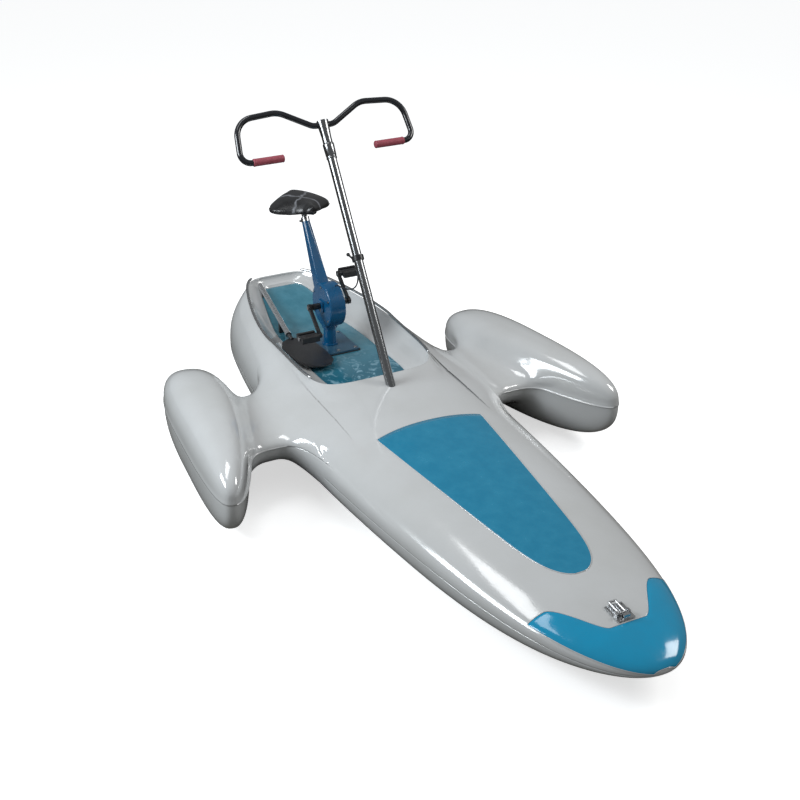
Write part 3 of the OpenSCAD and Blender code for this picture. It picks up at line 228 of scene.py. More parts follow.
near_rim = 1 - np.array([.36, .25, .17, .12, .08, .05, .03, .015, .006])
steps = np.unique(np.concatenate([np.linspace(0, 1, 64)**SEAM_CROWDING, near_rim]))
deck_rows = [deck_row(t) for t in steps[:-1]]
cove = ((0.965, 0.955), (0.9, 0.80), (0.78, 0.58), (0.62, 0.41), (0.42, 0.25), (0.24, 0.165), (0.1, 0.115),
        (0.012, 0.04))
roll = np.array([deck_row(0.985), deck_row(1.0)] + [wall_row(t, rise) for t, rise in cove])
roll[1, :, 2] += 1.5
inner = blend_rows(roll, 46)[5:]
flange_z = sole_height(sole_loop[:, 0]) - 8.3
flange = np.array([np.column_stack([sole_loop * (1 - k) + np.array([DRIVE_X, 0]) * k, flange_z])
                   for k in (0.0, 0.05)])
deck_grid = np.concatenate([deck_rows, inner, flange])
deck_skin = thicken(skin("deck_skin", deck_grid, ring=True), SKIN_WALL)
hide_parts("deck_moulding")
print("deck skin:", deck_grid.shape[0], "rows of", AROUND)

# %% [markdown]
# ## The bottom moulding
# Below the seam the same loops run inwards over the bottom to the mouth of the propeller tunnel, up
# its flared side and in over its flat roof to the hole that the drive leg's flange closes.

# %% Bottom moulding
foot_loop = outline(turns, -800, -1686, 188, 0.1, 4, 14)
roof_loop = outline(turns, -868, -1630, 124, 0, 4, 14)
hole_loop = np.stack([DRIVE_X + 110 * np.cos(turns), 110 * np.sin(turns)], -1)


def bottom_row(t):
    p = seam_loop * (1 - t) + foot_loop * t
    return np.column_stack([p, bottom_height(p[:, 0], p[:, 1]) - (0.3 if t == 0 else 0)])


bottom = [bottom_row(t) for t in np.linspace(0, 1, 60)**SEAM_CROWDING]
foot = bottom[-1]
roof = np.column_stack([roof_loop, np.full(AROUND, TUNNEL_ROOF)])
climb = (0.06, 0.14, 0.25, 0.4, 0.6, 0.8)
flare = [foot * (1 - k)**1.5 + roof * (1 - (1 - k)**1.5) for k in climb]
for k, row in zip(climb, flare):
    row[:, 2] = foot[:, 2] + (TUNNEL_ROOF - foot[:, 2]) * np.sin(k * np.pi / 2)
hole = np.column_stack([hole_loop, np.full(AROUND, TUNNEL_ROOF)])
bottom_grid = np.concatenate([np.array(bottom), np.array(flare), [roof, roof * 0.5 + hole * 0.5, hole]])
hull_skin = thicken(skin("hull_skin", bottom_grid, ring=True, flip=True), SKIN_WALL)
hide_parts("hull_moulding")

# %% [markdown]
# ## Outriggers as one blended form
# A float and the wing that carries it flow into each other and into the hull with wide fillets. A
# grid can't follow such a junction, so the form is written as a field: a number that is negative
# inside and grows outwards. The field of the whole is a smooth minimum of the hull's, the wing's and
# the float's, and the skin is where it is zero. Surface nets find that skin: each cell of a lattice
# that the zero level crosses gets one point, and a few Newton steps put the point on the level.

# %% Fields of hull, wing and float
FLOAT_X, FLOAT_Y, TOE, OUT_SEAM = -503.0, 828.0, math.radians(10.4), 256.0


def slope(field, p):
    """Gradient of a field by differences of half a millimetre."""
    steps3 = np.eye(3) * 0.5
    here = field(p)
    return here, np.stack([(field(p + s) - here) / 0.5 for s in steps3], -1)


def as_distance(field):
    """A field divided by the length of its gradient, which is a distance near the surface."""
    def measured(p):
        here, g = slope(field, p)
        return here / np.maximum(1e-4, np.linalg.norm(g, axis=-1))
    return measured


def hull_field(p):
    x, y, z = p[..., 0], p[..., 1], p[..., 2]
    h = np.where(z > SEAM, crown(x) - SEAM, SEAM - keel_height(x))
    return ((np.abs(z - SEAM) / h)**2.6 + (np.abs(y) / half_breadth(x))**2.6 + 1e-9)**(1 / 2.6) - 1


def float_field(p):
    """Plan share s = |u|^2.42 + |v|^2.42 of a tapered, bent oval, joined to the height with power 2.84."""
    dx, dy = p[..., 0] - FLOAT_X, p[..., 1] - FLOAT_Y
    dz = p[..., 2] - OUT_SEAM
    u = (dx * math.cos(TOE) + dy * math.sin(TOE)) / 592
    v = (dy * math.cos(TOE) - dx * math.sin(TOE) - 29 * u * u) / (142.5 * np.maximum(0.3, 1 - 0.33 * u))
    s = np.abs(u)**2.42 + np.abs(v)**2.42 + 1e-9
    return (s**(2.84 / 2.42) + np.abs(dz / np.where(dz > 0, 162, 236))**2.84)**(1 / 2.84) - 1


def wing_field(p):
    """A superellipse section that widens towards the hull, ended inside the float."""
    x, y, z = p[..., 0] + 542, p[..., 1], p[..., 2] - OUT_SEAM
    near = np.clip((600 - y) / 130, 0, 1)**2
    chord = 247 + np.where(x > 0, 95, 35) * near
    thick = np.where(z > 0, 50 + 10 * near, 128)
    return ((np.abs(x) / chord)**2.5 + (np.abs(z) / thick)**2.5 + 1e-9)**0.4 - 1


hull_away, float_away, wing_away = as_distance(hull_field), as_distance(float_field), as_distance(wing_field)


def melt(a, b, k):
    """Smooth minimum: the lower of a and b, less a fillet where they are within k of each other."""
    h = np.maximum(k - np.abs(a - b), 0) / k
    return np.minimum(a, b) - h * h * k / 4


def outrigger_field(p):
    wing = np.maximum(wing_away(p), p[..., 1] - 830)
    return melt(melt(wing, float_away(p), 86), hull_away(p), 92)


# %% Surface nets
def surface_net(field, low, high, step):
    """Points and quads of the field's zero level in a box, by surface nets and Newton steps."""
    axes = [np.arange(a, b + step, step) for a, b in zip(low, high)]
    pts = np.stack(np.meshgrid(*axes, indexing="ij"), -1)
    val = field(pts)
    inside = val < 0
    corners = [(i, j, k) for i in (0, 1) for j in (0, 1) for k in (0, 1)]
    cut = lambda a, c: a[c[0]:a.shape[0] - 1 + c[0], c[1]:a.shape[1] - 1 + c[1], c[2]:a.shape[2] - 1 + c[2]]
    count = sum(cut(inside, c).astype(int) for c in corners)
    active = (count > 0) & (count < 8)
    total, hits = np.zeros(active.shape + (3,)), np.zeros(active.shape)
    for c in corners:
        for axis in range(3):
            if c[axis] == 0:
                d = list(c)
                d[axis] = 1
                va, vb = cut(val, c), cut(val, d)
                cross = (va < 0) != (vb < 0)
                t = np.where(cross, va / np.where(cross, va - vb, 1), 0)
                total += cross[..., None] * (cut(pts, c) * (1 - t)[..., None] + cut(pts, d) * t[..., None])
                hits += cross
    index = np.full(active.shape, -1)
    index[active] = np.arange(active.sum())
    p = (total[active] / hits[active][:, None])
    for _ in range(4):
        here, g = slope(field, p)
        p = p - g * (here / np.maximum(0.05, (g**2).sum(-1)))[:, None].clip(-step, step)
    quads = []
    for axis in range(3):
        o1, o2 = [a for a in range(3) if a != axis]
        lo = np.moveaxis(inside, axis, 0)[:-1]
        hi = np.moveaxis(inside, axis, 0)[1:]
        change = np.moveaxis(lo != hi, 0, axis)
        falling = np.moveaxis(lo & ~hi, 0, axis)
        ix = np.argwhere(change)
        first, second = ix[:, o1], ix[:, o2]
        ix = ix[(first > 0) & (second > 0) & (first < active.shape[o1]) & (second < active.shape[o2])]
        s1, s2 = np.eye(3, dtype=int)[o1], np.eye(3, dtype=int)[o2]
        ring4 = np.stack([index[tuple((ix - back).T)] for back in (s1 + s2, s2, 0, s1)], -1)
        turn = falling[tuple(ix.T)] ^ (axis == 1)
        ring4 = np.where(turn[:, None], ring4, ring4[:, ::-1])
        quads.append(ring4)
    return p, np.concatenate(quads)


net_points, net_quads = surface_net(outrigger_field, (-1330, 330, 4), (330, 1060, 440), 9.0)
proud = hull_away(net_points)
net_quads = net_quads[(proud[net_quads].max(1) > 0.35) & (net_points[net_quads][..., 1].min(1) > 340)]
net_points = net_points - np.array([0, 1, 0]) * (1.2 * ease((0.8 - proud) / 1.0))[:, None]
print("outrigger net:", len(net_points), "points,", len(net_quads), "faces")

# %% [markdown]
# Each outrigger is moulded in two halves, so the net is cut level at the seam. The upper half ends
# in a slight lip that stands proud of the lower one, and both edges turn inwards, which draws the
# fine dark line along the floats. The starboard side is the port side with y turned round.

# %% Outrigger halves
def outrigger_skin(name, upper, side, node):
    """One half of an outrigger: the net above or below the seam, with a lip and a turned-in edge."""
    mesh = bpy.data.meshes.new(name)
    quads = net_quads if side > 0 else net_quads[:, ::-1]
    mesh.from_pydata((net_points * [0.001, 0.001 * side, 0.001]).tolist(), [], quads.tolist())
    bm = bmesh.new()
    bm.from_mesh(mesh)
    level = (OUT_SEAM if upper else OUT_SEAM - 1.6) * 0.001
    everything = bm.verts[:] + bm.edges[:] + bm.faces[:]
    bmesh.ops.bisect_plane(bm, geom=everything, dist=1e-6, plane_co=(0, 0, level), plane_no=(0, 0, 1),
                           clear_inner=upper, clear_outer=not upper)
    bm.normal_update()
    rim = [e for e in bm.edges if e.is_boundary and all(abs(v.co.z - level) < 2e-5 for v in e.verts)]
    clear = ease((hull_away(np.array([v.co for v in bm.verts]) * [1000, 1000 * side, 1000]) - 14) / 70)
    for v, free in zip(bm.verts, clear):
        n = v.normal.copy()
        n.z = 0
        away = abs(v.co.z - level) * 1000
        size = (2.6 if upper else -0.8) * math.exp(-(away / (13 if upper else 5))**2) * free
        if away < 40 and n.length > 0.2:
            v.co += n.normalized() * size * 0.001
    made = bmesh.ops.extrude_edge_only(bm, edges=rim)
    for v in [g for g in made["geom"] if isinstance(g, bmesh.types.BMVert)]:
        n = v.normal.copy()
        n.z = 0
        v.co -= (n.normalized() if n.length > 0.2 else n * 0) * 0.009
    for f in bm.faces:
        f.smooth = True
    bm.to_mesh(mesh)
    bm.free()
    piece = bpy.data.objects.new(name, mesh)
    bpy.context.scene.collection.objects.link(piece)
    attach(piece, "boat")
    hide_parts(node)
    return piece


outriggers = [outrigger_skin(f"outrigger_{half}_{where}_skin", half == "top", side, f"outrigger_{half}_{where}")
              for half in ("top", "bottom") for where, side in (("port", 1), ("starboard", -1))]

# %% [markdown]
# ## Coloured deck panels
# The blue foredeck panel and the blue bow cap are separate thin mouldings laid on the deck. Both
# follow the deck's formula and stand a little above it, with a soft edge. A fine white line is left
# round them, where the masking tape lay: it is a slim rounded strip of gelcoat.

# %% Foredeck panel
def panel_half(x):
    """Half width: from 262 at the back to 118 in front, closed round at the very front."""
    u = np.clip((x - 2) / 1180, 0, 1)
    return (262 + (118 - 262) * u**1.05) * (1 - 0.97 * u**14)**0.5


def laid_on_deck(x, y, lift):
    """Points of the deck, each raised by lift along the deck's own normal."""
    e = 0.5
    z = deck_height(x, y)
    nx, ny = -(deck_height(x + e, y) - z) / e, -(deck_height(x, y + e) - z) / e
    n = np.stack([nx, ny, np.ones_like(z)], -1)
    n /= np.linalg.norm(n, axis=-1, keepdims=True)
    return np.stack([x, y, z], -1) + n * np.asarray(lift)[..., None]


def panel_point(v, u):
    back = 2 - 34 * (1 - v * v)
    x = back + (1182 - back) * np.sin(u * np.pi / 2)
    return x, panel_half(np.maximum(x, 2)) * v


v_p, u_p = np.meshgrid(np.sin(np.linspace(-np.pi / 2, np.pi / 2, 61)), np.linspace(0, 1, 71), indexing="ij")
px, py = panel_point(v_p, u_p)
edge = np.minimum(1 - np.abs(v_p), np.minimum(u_p * 1.2, (1 - u_p) * 2.5))
panel_grid = laid_on_deck(px, py, 0.9 + 2.1 * ease(edge / 0.02))
foredeck = thicken(skin("foredeck_panel_skin", panel_grid), 1.0)
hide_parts("foredeck_panel")


# %% Strip round a panel
def frame_of(path, closed=False):
    """Unit directions along a path of points."""
    d = (np.roll(path, -1, 0) - np.roll(path, 1, 0)) if closed else np.gradient(path, axis=0)
    return d / np.maximum(1e-9, np.linalg.norm(d, axis=1, keepdims=True))


def tube(name, path, radius, sides=16, ref=(0, 0, 1), closed=False, body="boat", flat=1.0):
    """A tube along a path: circles of cos and sin in the plane across it. flat squashes it along ref."""
    path = np.asarray(path, float)
    d = frame_of(path, closed)
    e = np.cross(d, np.asarray(ref, float))
    e /= np.linalg.norm(e, axis=1, keepdims=True)
    f = np.cross(d, e)
    k = 2 * np.pi * np.arange(sides) / sides
    r = np.broadcast_to(np.asarray(radius, float), (len(path),))[:, None, None]
    grid = path[:, None] + r * (np.cos(k)[None, :, None] * e[:, None] + flat * np.sin(k)[None, :, None] * f[:, None])
    if closed:
        grid = np.concatenate([grid, grid[:1]])
    return skin(name, grid, ring=True, flip=True, caps=not closed, body=body)


def resample(path, count):
    """The same path with count points an equal distance apart."""
    s = np.concatenate([[0], np.cumsum(np.linalg.norm(np.diff(path, axis=0), axis=1))])
    t = np.linspace(0, s[-1], count)
    return np.stack([np.interp(t, s, path[:, k]) for k in range(3)], -1)


one = np.linspace(0, 1, 80)
loop_v = np.concatenate([np.ones(80), np.linspace(1, -1, 40), -np.ones(80), np.linspace(-1, 1, 60)])
loop_u = np.concatenate([one, np.ones(40), one[::-1], np.zeros(60)])
lx, ly = panel_point(loop_v, loop_u)
panel_loop = resample(laid_on_deck(lx, ly, np.full(len(lx), 0.6)), 300)
panel_line = tube("panel_line", panel_loop[:-1], 2.6, 8, closed=True, flat=0.8)

# %% Bow cap
def cap_grid(lift, rows, cols, sweep=72.0):
    """Rows fan out from the notch to the ears; u runs from the back edge to the bow."""
    s, u = np.meshgrid(np.radians(np.linspace(-sweep, sweep, rows)), np.linspace(0, 1, cols), indexing="ij")
    r = np.sin(s)
    back = 1490 + (1300 - 1490) * ease((np.abs(r) - 0.26) / 0.46)
    x = back + (HALF_LEN - 6 - back) * np.sin(u * np.pi / 2)
    y = half_breadth(x) * np.sign(s) * np.abs(r)**0.9
    from_side = rows / 2 - np.abs(np.arange(rows)[:, None] - (rows - 1) / 2)
    rim = np.minimum(np.minimum(u, 1 - u) * 12, from_side * 0.6)
    return laid_on_deck(x, y, 0.9 + lift * ease(rim))


cap_points = cap_grid(2.1, 97, 49)
bow_cap = thicken(skin("bow_cap_skin", cap_points), 1.0)
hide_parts("bow_cap")
cap_loop = np.concatenate([cap_points[::-1, 0], cap_points[0, 1:], cap_points[1:, -1], cap_points[-1, -2:0:-1]])
cap_loop = resample(np.concatenate([cap_loop, cap_loop[:1]]), 260)[:-1]
cap_line = tube("cap_line", cap_loop, 2.4, 8, closed=True, flat=0.8)

# %% [markdown]
# ## The cockpit's floor and rim
# The floor is a flat teal panel with a ramp aft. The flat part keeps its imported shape, and the ramp
# gets a smooth skin. A bright bead runs along the rim on each side.

# %% Ramp and beads
sole_x = sole_loop[:, 0]
port_half = turns < np.pi
order = np.argsort(sole_x[port_half])
ramp_x, ramp_v = np.meshgrid(np.linspace(-1237, -1645, 60), np.linspace(-1, 1, 33), indexing="ij")
ramp_half = np.interp(ramp_x, sole_x[port_half][order], np.abs(sole_loop[port_half, 1])[order]) - 3
ramp_grid = np.stack([ramp_x, ramp_v * ramp_half, sole_height(ramp_x)], -1)
ramp = thicken(skin("aft_sole_skin", ramp_grid), 6)
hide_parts("aft_sole")


# %% Rim beads
def bead(side):
    """The bead follows the rim 6 mm outside it, from the forward corner to the stern."""
    a = np.radians(np.linspace(37, 167, 110))
    r = outline(a, -466, -1698, 324, 0.5, 7, 16)
    sx = seam_reach(a)
    s = np.stack([sx, half_breadth(sx)], -1)
    p = r + (s - r) / np.linalg.norm(s - r, axis=1, keepdims=True) * 6
    path = np.column_stack([p[:, 0], side * p[:, 1], rim_height(r[:, 0]) + 9.2])
    ends = np.minimum(np.arange(110), np.arange(110)[::-1])
    return path, 7 * np.sqrt(np.clip(1 - (1 - np.minimum(1, (ends + 0.3) / 3))**2, 0, 1))


beads = []
for where, side in (("port", 1), ("starboard", -1)):
    line, radius = bead(side)
    beads.append(tube(f"rim_bead_{where}", line, radius, 16))
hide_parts("coaming_trim")

# %% [markdown]
# ## Handlebar and grips
# The bar is one bent tube: out from the head, up, round a wide corner, down and back in to the
# grips. Straight runs joined by arcs give its line, worked out in the column's own plane and leaned
# back with it. The grips are soft sleeves with rings and a rolled end.

# %% Handlebar
LEAN = math.radians(33.07)


def on_column(points):
    """Column coordinates to boat coordinates: leaned aft and set on the deck."""
    p = np.asarray(points, float)
    x = p[..., 0] * math.cos(LEAN) - p[..., 2] * math.sin(LEAN) + COLUMN_X
    z = p[..., 0] * math.sin(LEAN) + p[..., 2] * math.cos(LEAN) + DECK
    return np.stack([x, p[..., 1], z], -1)


def rounded_line(corners, bends, count=14):
    """A line through corners, each replaced by an arc of its bend radius."""
    corners, out = np.asarray(corners, float), [np.asarray(corners[0], float)]
    for k in range(1, len(corners) - 1):
        a, b, c, r = corners[k - 1], corners[k], corners[k + 1], bends[k]
        d1, d2 = (b - a) / np.linalg.norm(b - a), (c - b) / np.linalg.norm(c - b)
        t = math.acos(np.clip(d1 @ d2, -1, 1))
        mid = b + (d2 - d1) / np.linalg.norm(d2 - d1) * r / math.cos(t / 2)
        x = b - d1 * r * math.tan(t / 2) - mid
        x /= np.linalg.norm(x)
        w = np.linspace(0, t, count)[:, None]
        out += list(mid + r * (x * np.cos(w) + d1 * np.sin(w)))
    return np.array(out + [corners[-1]])


bar_corners = [[0, 0, 1255], [0, 52, 1255], [0, 210, 1343], [0, 420, 1329], [0, 442, 1127], [0, 236, 1127]]
half_line = rounded_line(bar_corners, [0, 70, 120, 95, 46, 0])
half_line = resample(half_line, 120)
whole = np.concatenate([half_line[::-1] * [1, -1, 1], half_line[1:]])
bar_path = on_column(whole)
bar = tube("handlebar_tube", bar_path, 14, 24, ref=(math.cos(LEAN), 0, math.sin(LEAN)), body="steering")
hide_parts("handlebar")


# %% Turned pieces
def turned(name, start, end, stations, radii, sides=32, body="boat"):
    """A profile of (distance, radius) carried round the line from start to end."""
    start, end = np.asarray(start, float), np.asarray(end, float)
    d = (end - start) / np.linalg.norm(end - start)
    e = np.cross(d, [0.3, 0.5, 0.81])
    e /= np.linalg.norm(e)
    f = np.cross(d, e)
    k = 2 * np.pi * np.arange(sides) / sides
    ring = np.cos(k)[:, None] * e + np.sin(k)[:, None] * f
    grid = start + np.asarray(stations, float)[:, None, None] * d + np.asarray(radii, float)[:, None, None] * ring[None]
    return skin(name, grid, ring=True, caps=True, body=body)


grips = []
for where, side in (("port", 1), ("starboard", -1)):
    s = np.linspace(0, 155, 250)
    r = 17.2 + 0.8 * np.abs(np.sin(s * np.pi / 7.5))**0.7 * (s > 14) * (s < 140)
    r = r + 1.6 * np.exp(-((s - 148) / 4)**2) + 1.0 * np.exp(-((s - 8) / 3)**2)
    r = r * np.sqrt(np.clip(1 - np.clip(1 - s / 6, 0, 1)**2, 0.0, 1)) * (1 - 0.16 * ease((s - 152) / 3))
    a, b = on_column([[0, side * 231, 1127], [0, side * 386, 1127]])
    grips.append(turned(f"grip_{where}", a, b, s, np.maximum(r, 0.5), 40, "steering"))
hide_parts("handlebar_grips")
print("handlebar:", round(np.linalg.norm(np.diff(bar_path, axis=0), axis=1).sum()), "mm of tube")

# %% [markdown]
# ## The saddle
# The cover is a padded shell with a short nose and two broad wings. It starts as a grid on the
# saddle's formula, made slightly small. A closed copy is remeshed and blown up like a cushion with
# Blender's cloth, gravity off, and no point may move more than a few millimetres. The underside
# sits on its base, so it stays where it is. Sewn piping along the edge follows after.

# %% Saddle pad
SADDLE_X, SADDLE_LEN, SADDLE_W, SADDLE_LOW = -1170.0, 285.0, 318.0, 958.2


def saddle_half(u):
    """Half width: a short nose, two broad wings, closed round at both ends."""
    w = 38 + (SADDLE_W / 2 - 38) * ease((u - 0.12) / 0.5)
    nose = np.sqrt(1 - np.clip(1 - u / 0.14, 0, 1)**2)
    rear = (1 - np.clip((u - 0.62) / 0.38, 0, 1)**2.4)**0.5
    return w * nose * rear


def saddle_top(u, r):
    """Height over the base line: highest along the middle, falling towards the wings."""
    return 42 + 8 * ease((u - 0.3) / 0.6) - 50 * r**2.2 * (0.3 + 0.7 * ease(u / 0.5))


def saddle_grid(inset, lift_top, lift_low):
    u = 0.5 - 0.496 * np.cos(np.linspace(0, np.pi, 54))
    r = np.sin(np.linspace(-np.pi / 2, np.pi / 2, 49))
    uu, rr = np.meshgrid(u, r, indexing="ij")
    x, y = SADDLE_X - SADDLE_LEN * (0.02 + 0.96 * uu), (saddle_half(uu) - inset).clip(0.5) * rr
    edge = (1 - np.abs(rr)**3) * np.clip(np.minimum(uu, 1 - uu) * 8, 0, 1)**0.5
    top = saddle_top(uu, np.abs(rr)) + lift_top * edge
    low = saddle_top(uu, np.abs(rr)) - 34 * (1 - 0.55 * rr**2) + lift_low * edge
    low = np.minimum(low, top - 6 * edge - 0.5)
    return np.stack([x, y, SADDLE_LOW + top], -1), np.stack([x, y, SADDLE_LOW + low], -1)


top_grid, low_grid = saddle_grid(3, -3, 0.5)
top_ring = np.concatenate([top_grid, low_grid[:, ::-1]], 1)
saddle = skin("saddle_pad", top_ring, ring=True, caps=True, body="seat")


# %% Blowing the saddle up
def vertex_rows(mesh, what):
    """One row of three numbers for each vertex: its place (co) or its normal."""
    rows = np.empty(len(mesh.vertices) * 3)
    mesh.vertices.foreach_get(what, rows)
    return rows.reshape(-1, 3)


def inflate(piece, pressure, cap, frames=20):
    """Blows a closed mesh up with cloth for some frames; no point moves more than cap millimetres."""
    bpy.context.view_layer.objects.active = piece
    mesh = piece.data
    rest, normal = vertex_rows(mesh, "co"), vertex_rows(mesh, "normal")
    cloth = piece.modifiers.new("Cloth", "CLOTH")
    cloth.settings.use_pressure, cloth.settings.uniform_pressure_force = True, pressure
    cloth.settings.effector_weights.gravity = 0
    cloth.settings.quality = 6
    cloth.point_cache.frame_start, cloth.point_cache.frame_end = 1, frames
    for f in range(1, frames + 1):
        bpy.context.scene.frame_set(f)
    shown = piece.evaluated_get(bpy.context.evaluated_depsgraph_get())
    step = vertex_rows(shown.data, "co") - rest
    piece.modifiers.remove(cloth)
    bpy.context.scene.frame_set(1)
    far = np.linalg.norm(step, axis=1, keepdims=True)
    step *= np.minimum(1, cap * 0.001 / np.maximum(1e-9, far))
    step *= (0.06 + 0.94 * ease((normal[:, 2:3] + 0.25) / 0.6))
    mesh.vertices.foreach_set("co", (rest + step).ravel())
    mesh.update()
    print(piece.name, "swelled by up to", round(float(np.linalg.norm(step, axis=1).max() * 1000), 1), "mm")


def apply_modifiers(piece):
    """Puts the shape that a piece's modifiers give into its mesh."""
    shaped = bpy.data.meshes.new_from_object(piece.evaluated_get(bpy.context.evaluated_depsgraph_get()))
    piece.modifiers.clear()
    piece.data = shaped


bm = bmesh.new()
bm.from_mesh(saddle.data)
bmesh.ops.remove_doubles(bm, verts=bm.verts, dist=1e-6)
bmesh.ops.recalc_face_normals(bm, faces=bm.faces)
bm.to_mesh(saddle.data)
bm.free()
remesh = saddle.modifiers.new("remesh", "REMESH")
remesh.mode, remesh.voxel_size, remesh.use_smooth_shade = "VOXEL", 0.0045, True
apply_modifiers(saddle)
inflate(saddle, 4, 6)
relax = saddle.modifiers.new("relax", "SMOOTH")
relax.factor, relax.iterations = 0.5, 6
apply_modifiers(saddle)
fine = saddle.modifiers.new("fine", "SUBSURF")
fine.levels = fine.render_levels = 1
saddle.data.polygons.foreach_set("use_smooth", np.ones(len(saddle.data.polygons), bool))
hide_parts("saddle_cover")

# %% Piping along the saddle's edge
u_e = 0.5 - 0.492 * np.cos(np.linspace(0, np.pi, 90))
edge_x = SADDLE_X - SADDLE_LEN * (0.02 + 0.96 * u_e)
edge_y = (saddle_half(u_e) - 1.5).clip(0)
edge_z = SADDLE_LOW + saddle_top(u_e, np.ones(90)) - 8
edge_half = np.column_stack([edge_x, edge_y, edge_z])
edge_loop = np.concatenate([edge_half, (edge_half * [1, -1, 1])[::-1]])
edge_loop = resample(np.concatenate([edge_loop, edge_loop[:1]]), 240)[:-1]
piping = tube("saddle_piping", edge_loop, 1.9, 8, closed=True, body="seat")


# %% Springs under the wings
def spring(name, foot, top, turns_n, radius, wire):
    """A helix from foot to top: cos and sin round the line while the height grows."""
    t = np.linspace(0, 1, int(turns_n * 22))
    foot, top = np.asarray(foot, float), np.asarray(top, float)
    a = 2 * np.pi * turns_n * t
    path = foot + (top - foot) * t[:, None] + radius * np.column_stack([np.cos(a), np.sin(a), np.zeros_like(a)])
    return tube(name, path, wire, 8, ref=(0.02, 0.01, 1), body="seat")


springs = [spring(f"saddle_spring_{where}", (-1372, side * 58, 928), (-1380, side * 62, 958), 4.5, 13, 2.4)
           for where, side in (("port", 1), ("starboard", -1))]
yoke_corners = [[-1372, -58, 925], [-1336, -34, 927], [-1336, 34, 927], [-1372, 58, 925]]
yokes = tube("saddle_yoke", rounded_line(yoke_corners, [0, 14, 14, 0]), 3.2, 12, ref=(0.1, 0, 1), body="seat")

# %% [markdown]
# ## Pedals, crank ends, propeller and cable
# Small pieces carry the eye: ribbed rubber treads on the pedals, a propeller with twisted blades, a
# thin operating cable, and a flared sleeve where the steering column meets the handlebar.

# %% Pedal treads
def treads(name, x, z, side, body):
    """Rows of rounded ribs across both faces of a pedal, each rib a half wave of height."""
    y = np.linspace(0, 88, 90)
    parts = []
    for face in (1, -1):
        for off in (-31, 31):
            u = np.linspace(-6.2, 6.2, 9)
            yy, uu = np.meshgrid(y, u, indexing="ij")
            lift = 1.2 + 2.2 * np.abs(np.sin(np.pi * yy / 8)) ** 0.6 * (1 - (np.abs(uu) / 6.2) ** 4)
            lift = np.where((yy < 0.5) | (yy > 87.5) | (np.abs(uu) > 6.1), -1.0, lift)
            parts.append(np.stack([x + off + uu, side * (122 + yy), z + face * (13 + lift)], -1))
    points, faces, at = [], [], 0
    for k, g in enumerate(parts):
        n, m = g.shape[:2]
        i, j = np.meshgrid(np.arange(n - 1), np.arange(m - 1), indexing="ij")
        a = (at + i * m + j).ravel()
        q = np.stack([a, a + m, a + m + 1, a + 1], -1)
        flip = (k < 2) == (side > 0)
        faces += (q[:, ::-1] if flip else q).tolist()
        points.append(g.reshape(-1, 3))
        at += n * m
    return mesh_piece(name, np.concatenate(points), faces, body)


pedal_treads = []
for where, side in (("starboard", -1), ("port", 1)):
    pedal_low, pedal_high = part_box(f"pedal_{where}")
    mid_x, mid_z = (pedal_low.x + pedal_high.x) * 500, (pedal_low.z + pedal_high.z) * 500
    pedal_treads.append(treads(f"pedal_tread_{where}", mid_x, mid_z, side, f"{where}_pedal"))

# %% Propeller
def propeller_mesh():
    """Three blades on a hub: chord grows and shrinks along the radius, and the pitch angle falls with it."""
    r = np.linspace(0, 1, 26)
    radius = 15 + 78 * r
    chord = 17 + 34 * np.sin(np.pi * np.clip(r, 0, 1) ** 0.8) ** 0.8 * (1 - r ** 6) - 12 * r
    pitch = np.radians(62 - 36 * r)
    s = np.linspace(0, 2 * np.pi, 29)[:-1]
    c, t = np.cos(s), np.sin(s) * 0.07 * (1 + 0.5 * np.cos(s)) * (1 - 0.5 * r[:, None])
    along, thick = chord[:, None] * 0.5 * c[None], chord[:, None] * t
    axial = along * np.sin(np.pi / 2 - pitch)[:, None] + thick * np.cos(np.pi / 2 - pitch)[:, None]
    round_ = along * np.cos(np.pi / 2 - pitch)[:, None] - thick * np.sin(np.pi / 2 - pitch)[:, None]
    pts, faces, at = [], [], 0
    for k in range(3):
        a = math.radians(120 * k + 30)
        y = -math.sin(a) * radius[:, None] + math.cos(a) * round_
        z = math.cos(a) * radius[:, None] + math.sin(a) * round_
        g = np.stack([axial - 1174, y, z + 110], -1)
        n, m = g.shape[:2]
        i, j = np.meshgrid(np.arange(n - 1), np.arange(m), indexing="ij")
        p, q = at + i * m + j, at + i * m + (j + 1) % m
        faces += np.stack([p, q, q + m, p + m], -1).reshape(-1, 4).tolist()
        faces += [list(range(at + m - 1, at - 1, -1)), list(range(at + (n - 1) * m, at + n * m))]
        pts.append(g.reshape(-1, 3))
        at += n * m
    return np.concatenate(pts), faces


blade_points, blade_faces = propeller_mesh()
blades = mesh_piece("propeller_blades", blade_points, blade_faces, "screw")
hub_s = np.array([0, 0.2, 3, 8, 46, 51, 56, 66, 76, 82, 84])
hub_r = np.array([7, 17, 19.5, 20, 20, 20, 19, 15, 9, 4, 0.5])
hub = turned("propeller_hub", (-1148, 0, 110), (-1300, 0, 110), hub_s, hub_r, 40, "screw")
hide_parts("propeller")

# %% Operating cable
cable_points = np.array([
    [-712, 0, 868], [-706, 0, 846], [-700, 0, 820], [-702, 0, 790], [-716, 0, 762], [-742, 1, 738], [-778, 2, 718],
    [-820, 4, 702], [-864, 6, 690], [-906, 9, 681], [-940, 12, 674], [-964, 14, 666], [-976, 15, 660],
    [-979, 15, 656]], float)
cable_line = blend_rows(cable_points, 90)
cable = tube("operating_cable", cable_line, 3.5, 12, ref=(0, 1, 0))
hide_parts("control_cable")

# %% Sleeve at the handlebar
a, b = on_column([[0, 0, 1090], [0, 0, 1167]])
sleeve_s = [0, 0.5, 2, 6, 8, 14, 16, 60, 70, 73.5, 74]
sleeve_r = [22.3, 24, 25.2, 25.6, 24.2, 24.2, 25.2, 26.6, 26.8, 26, 22.3]
sleeve = turned("column_sleeve", a, b, sleeve_s, sleeve_r, 48, "boat")

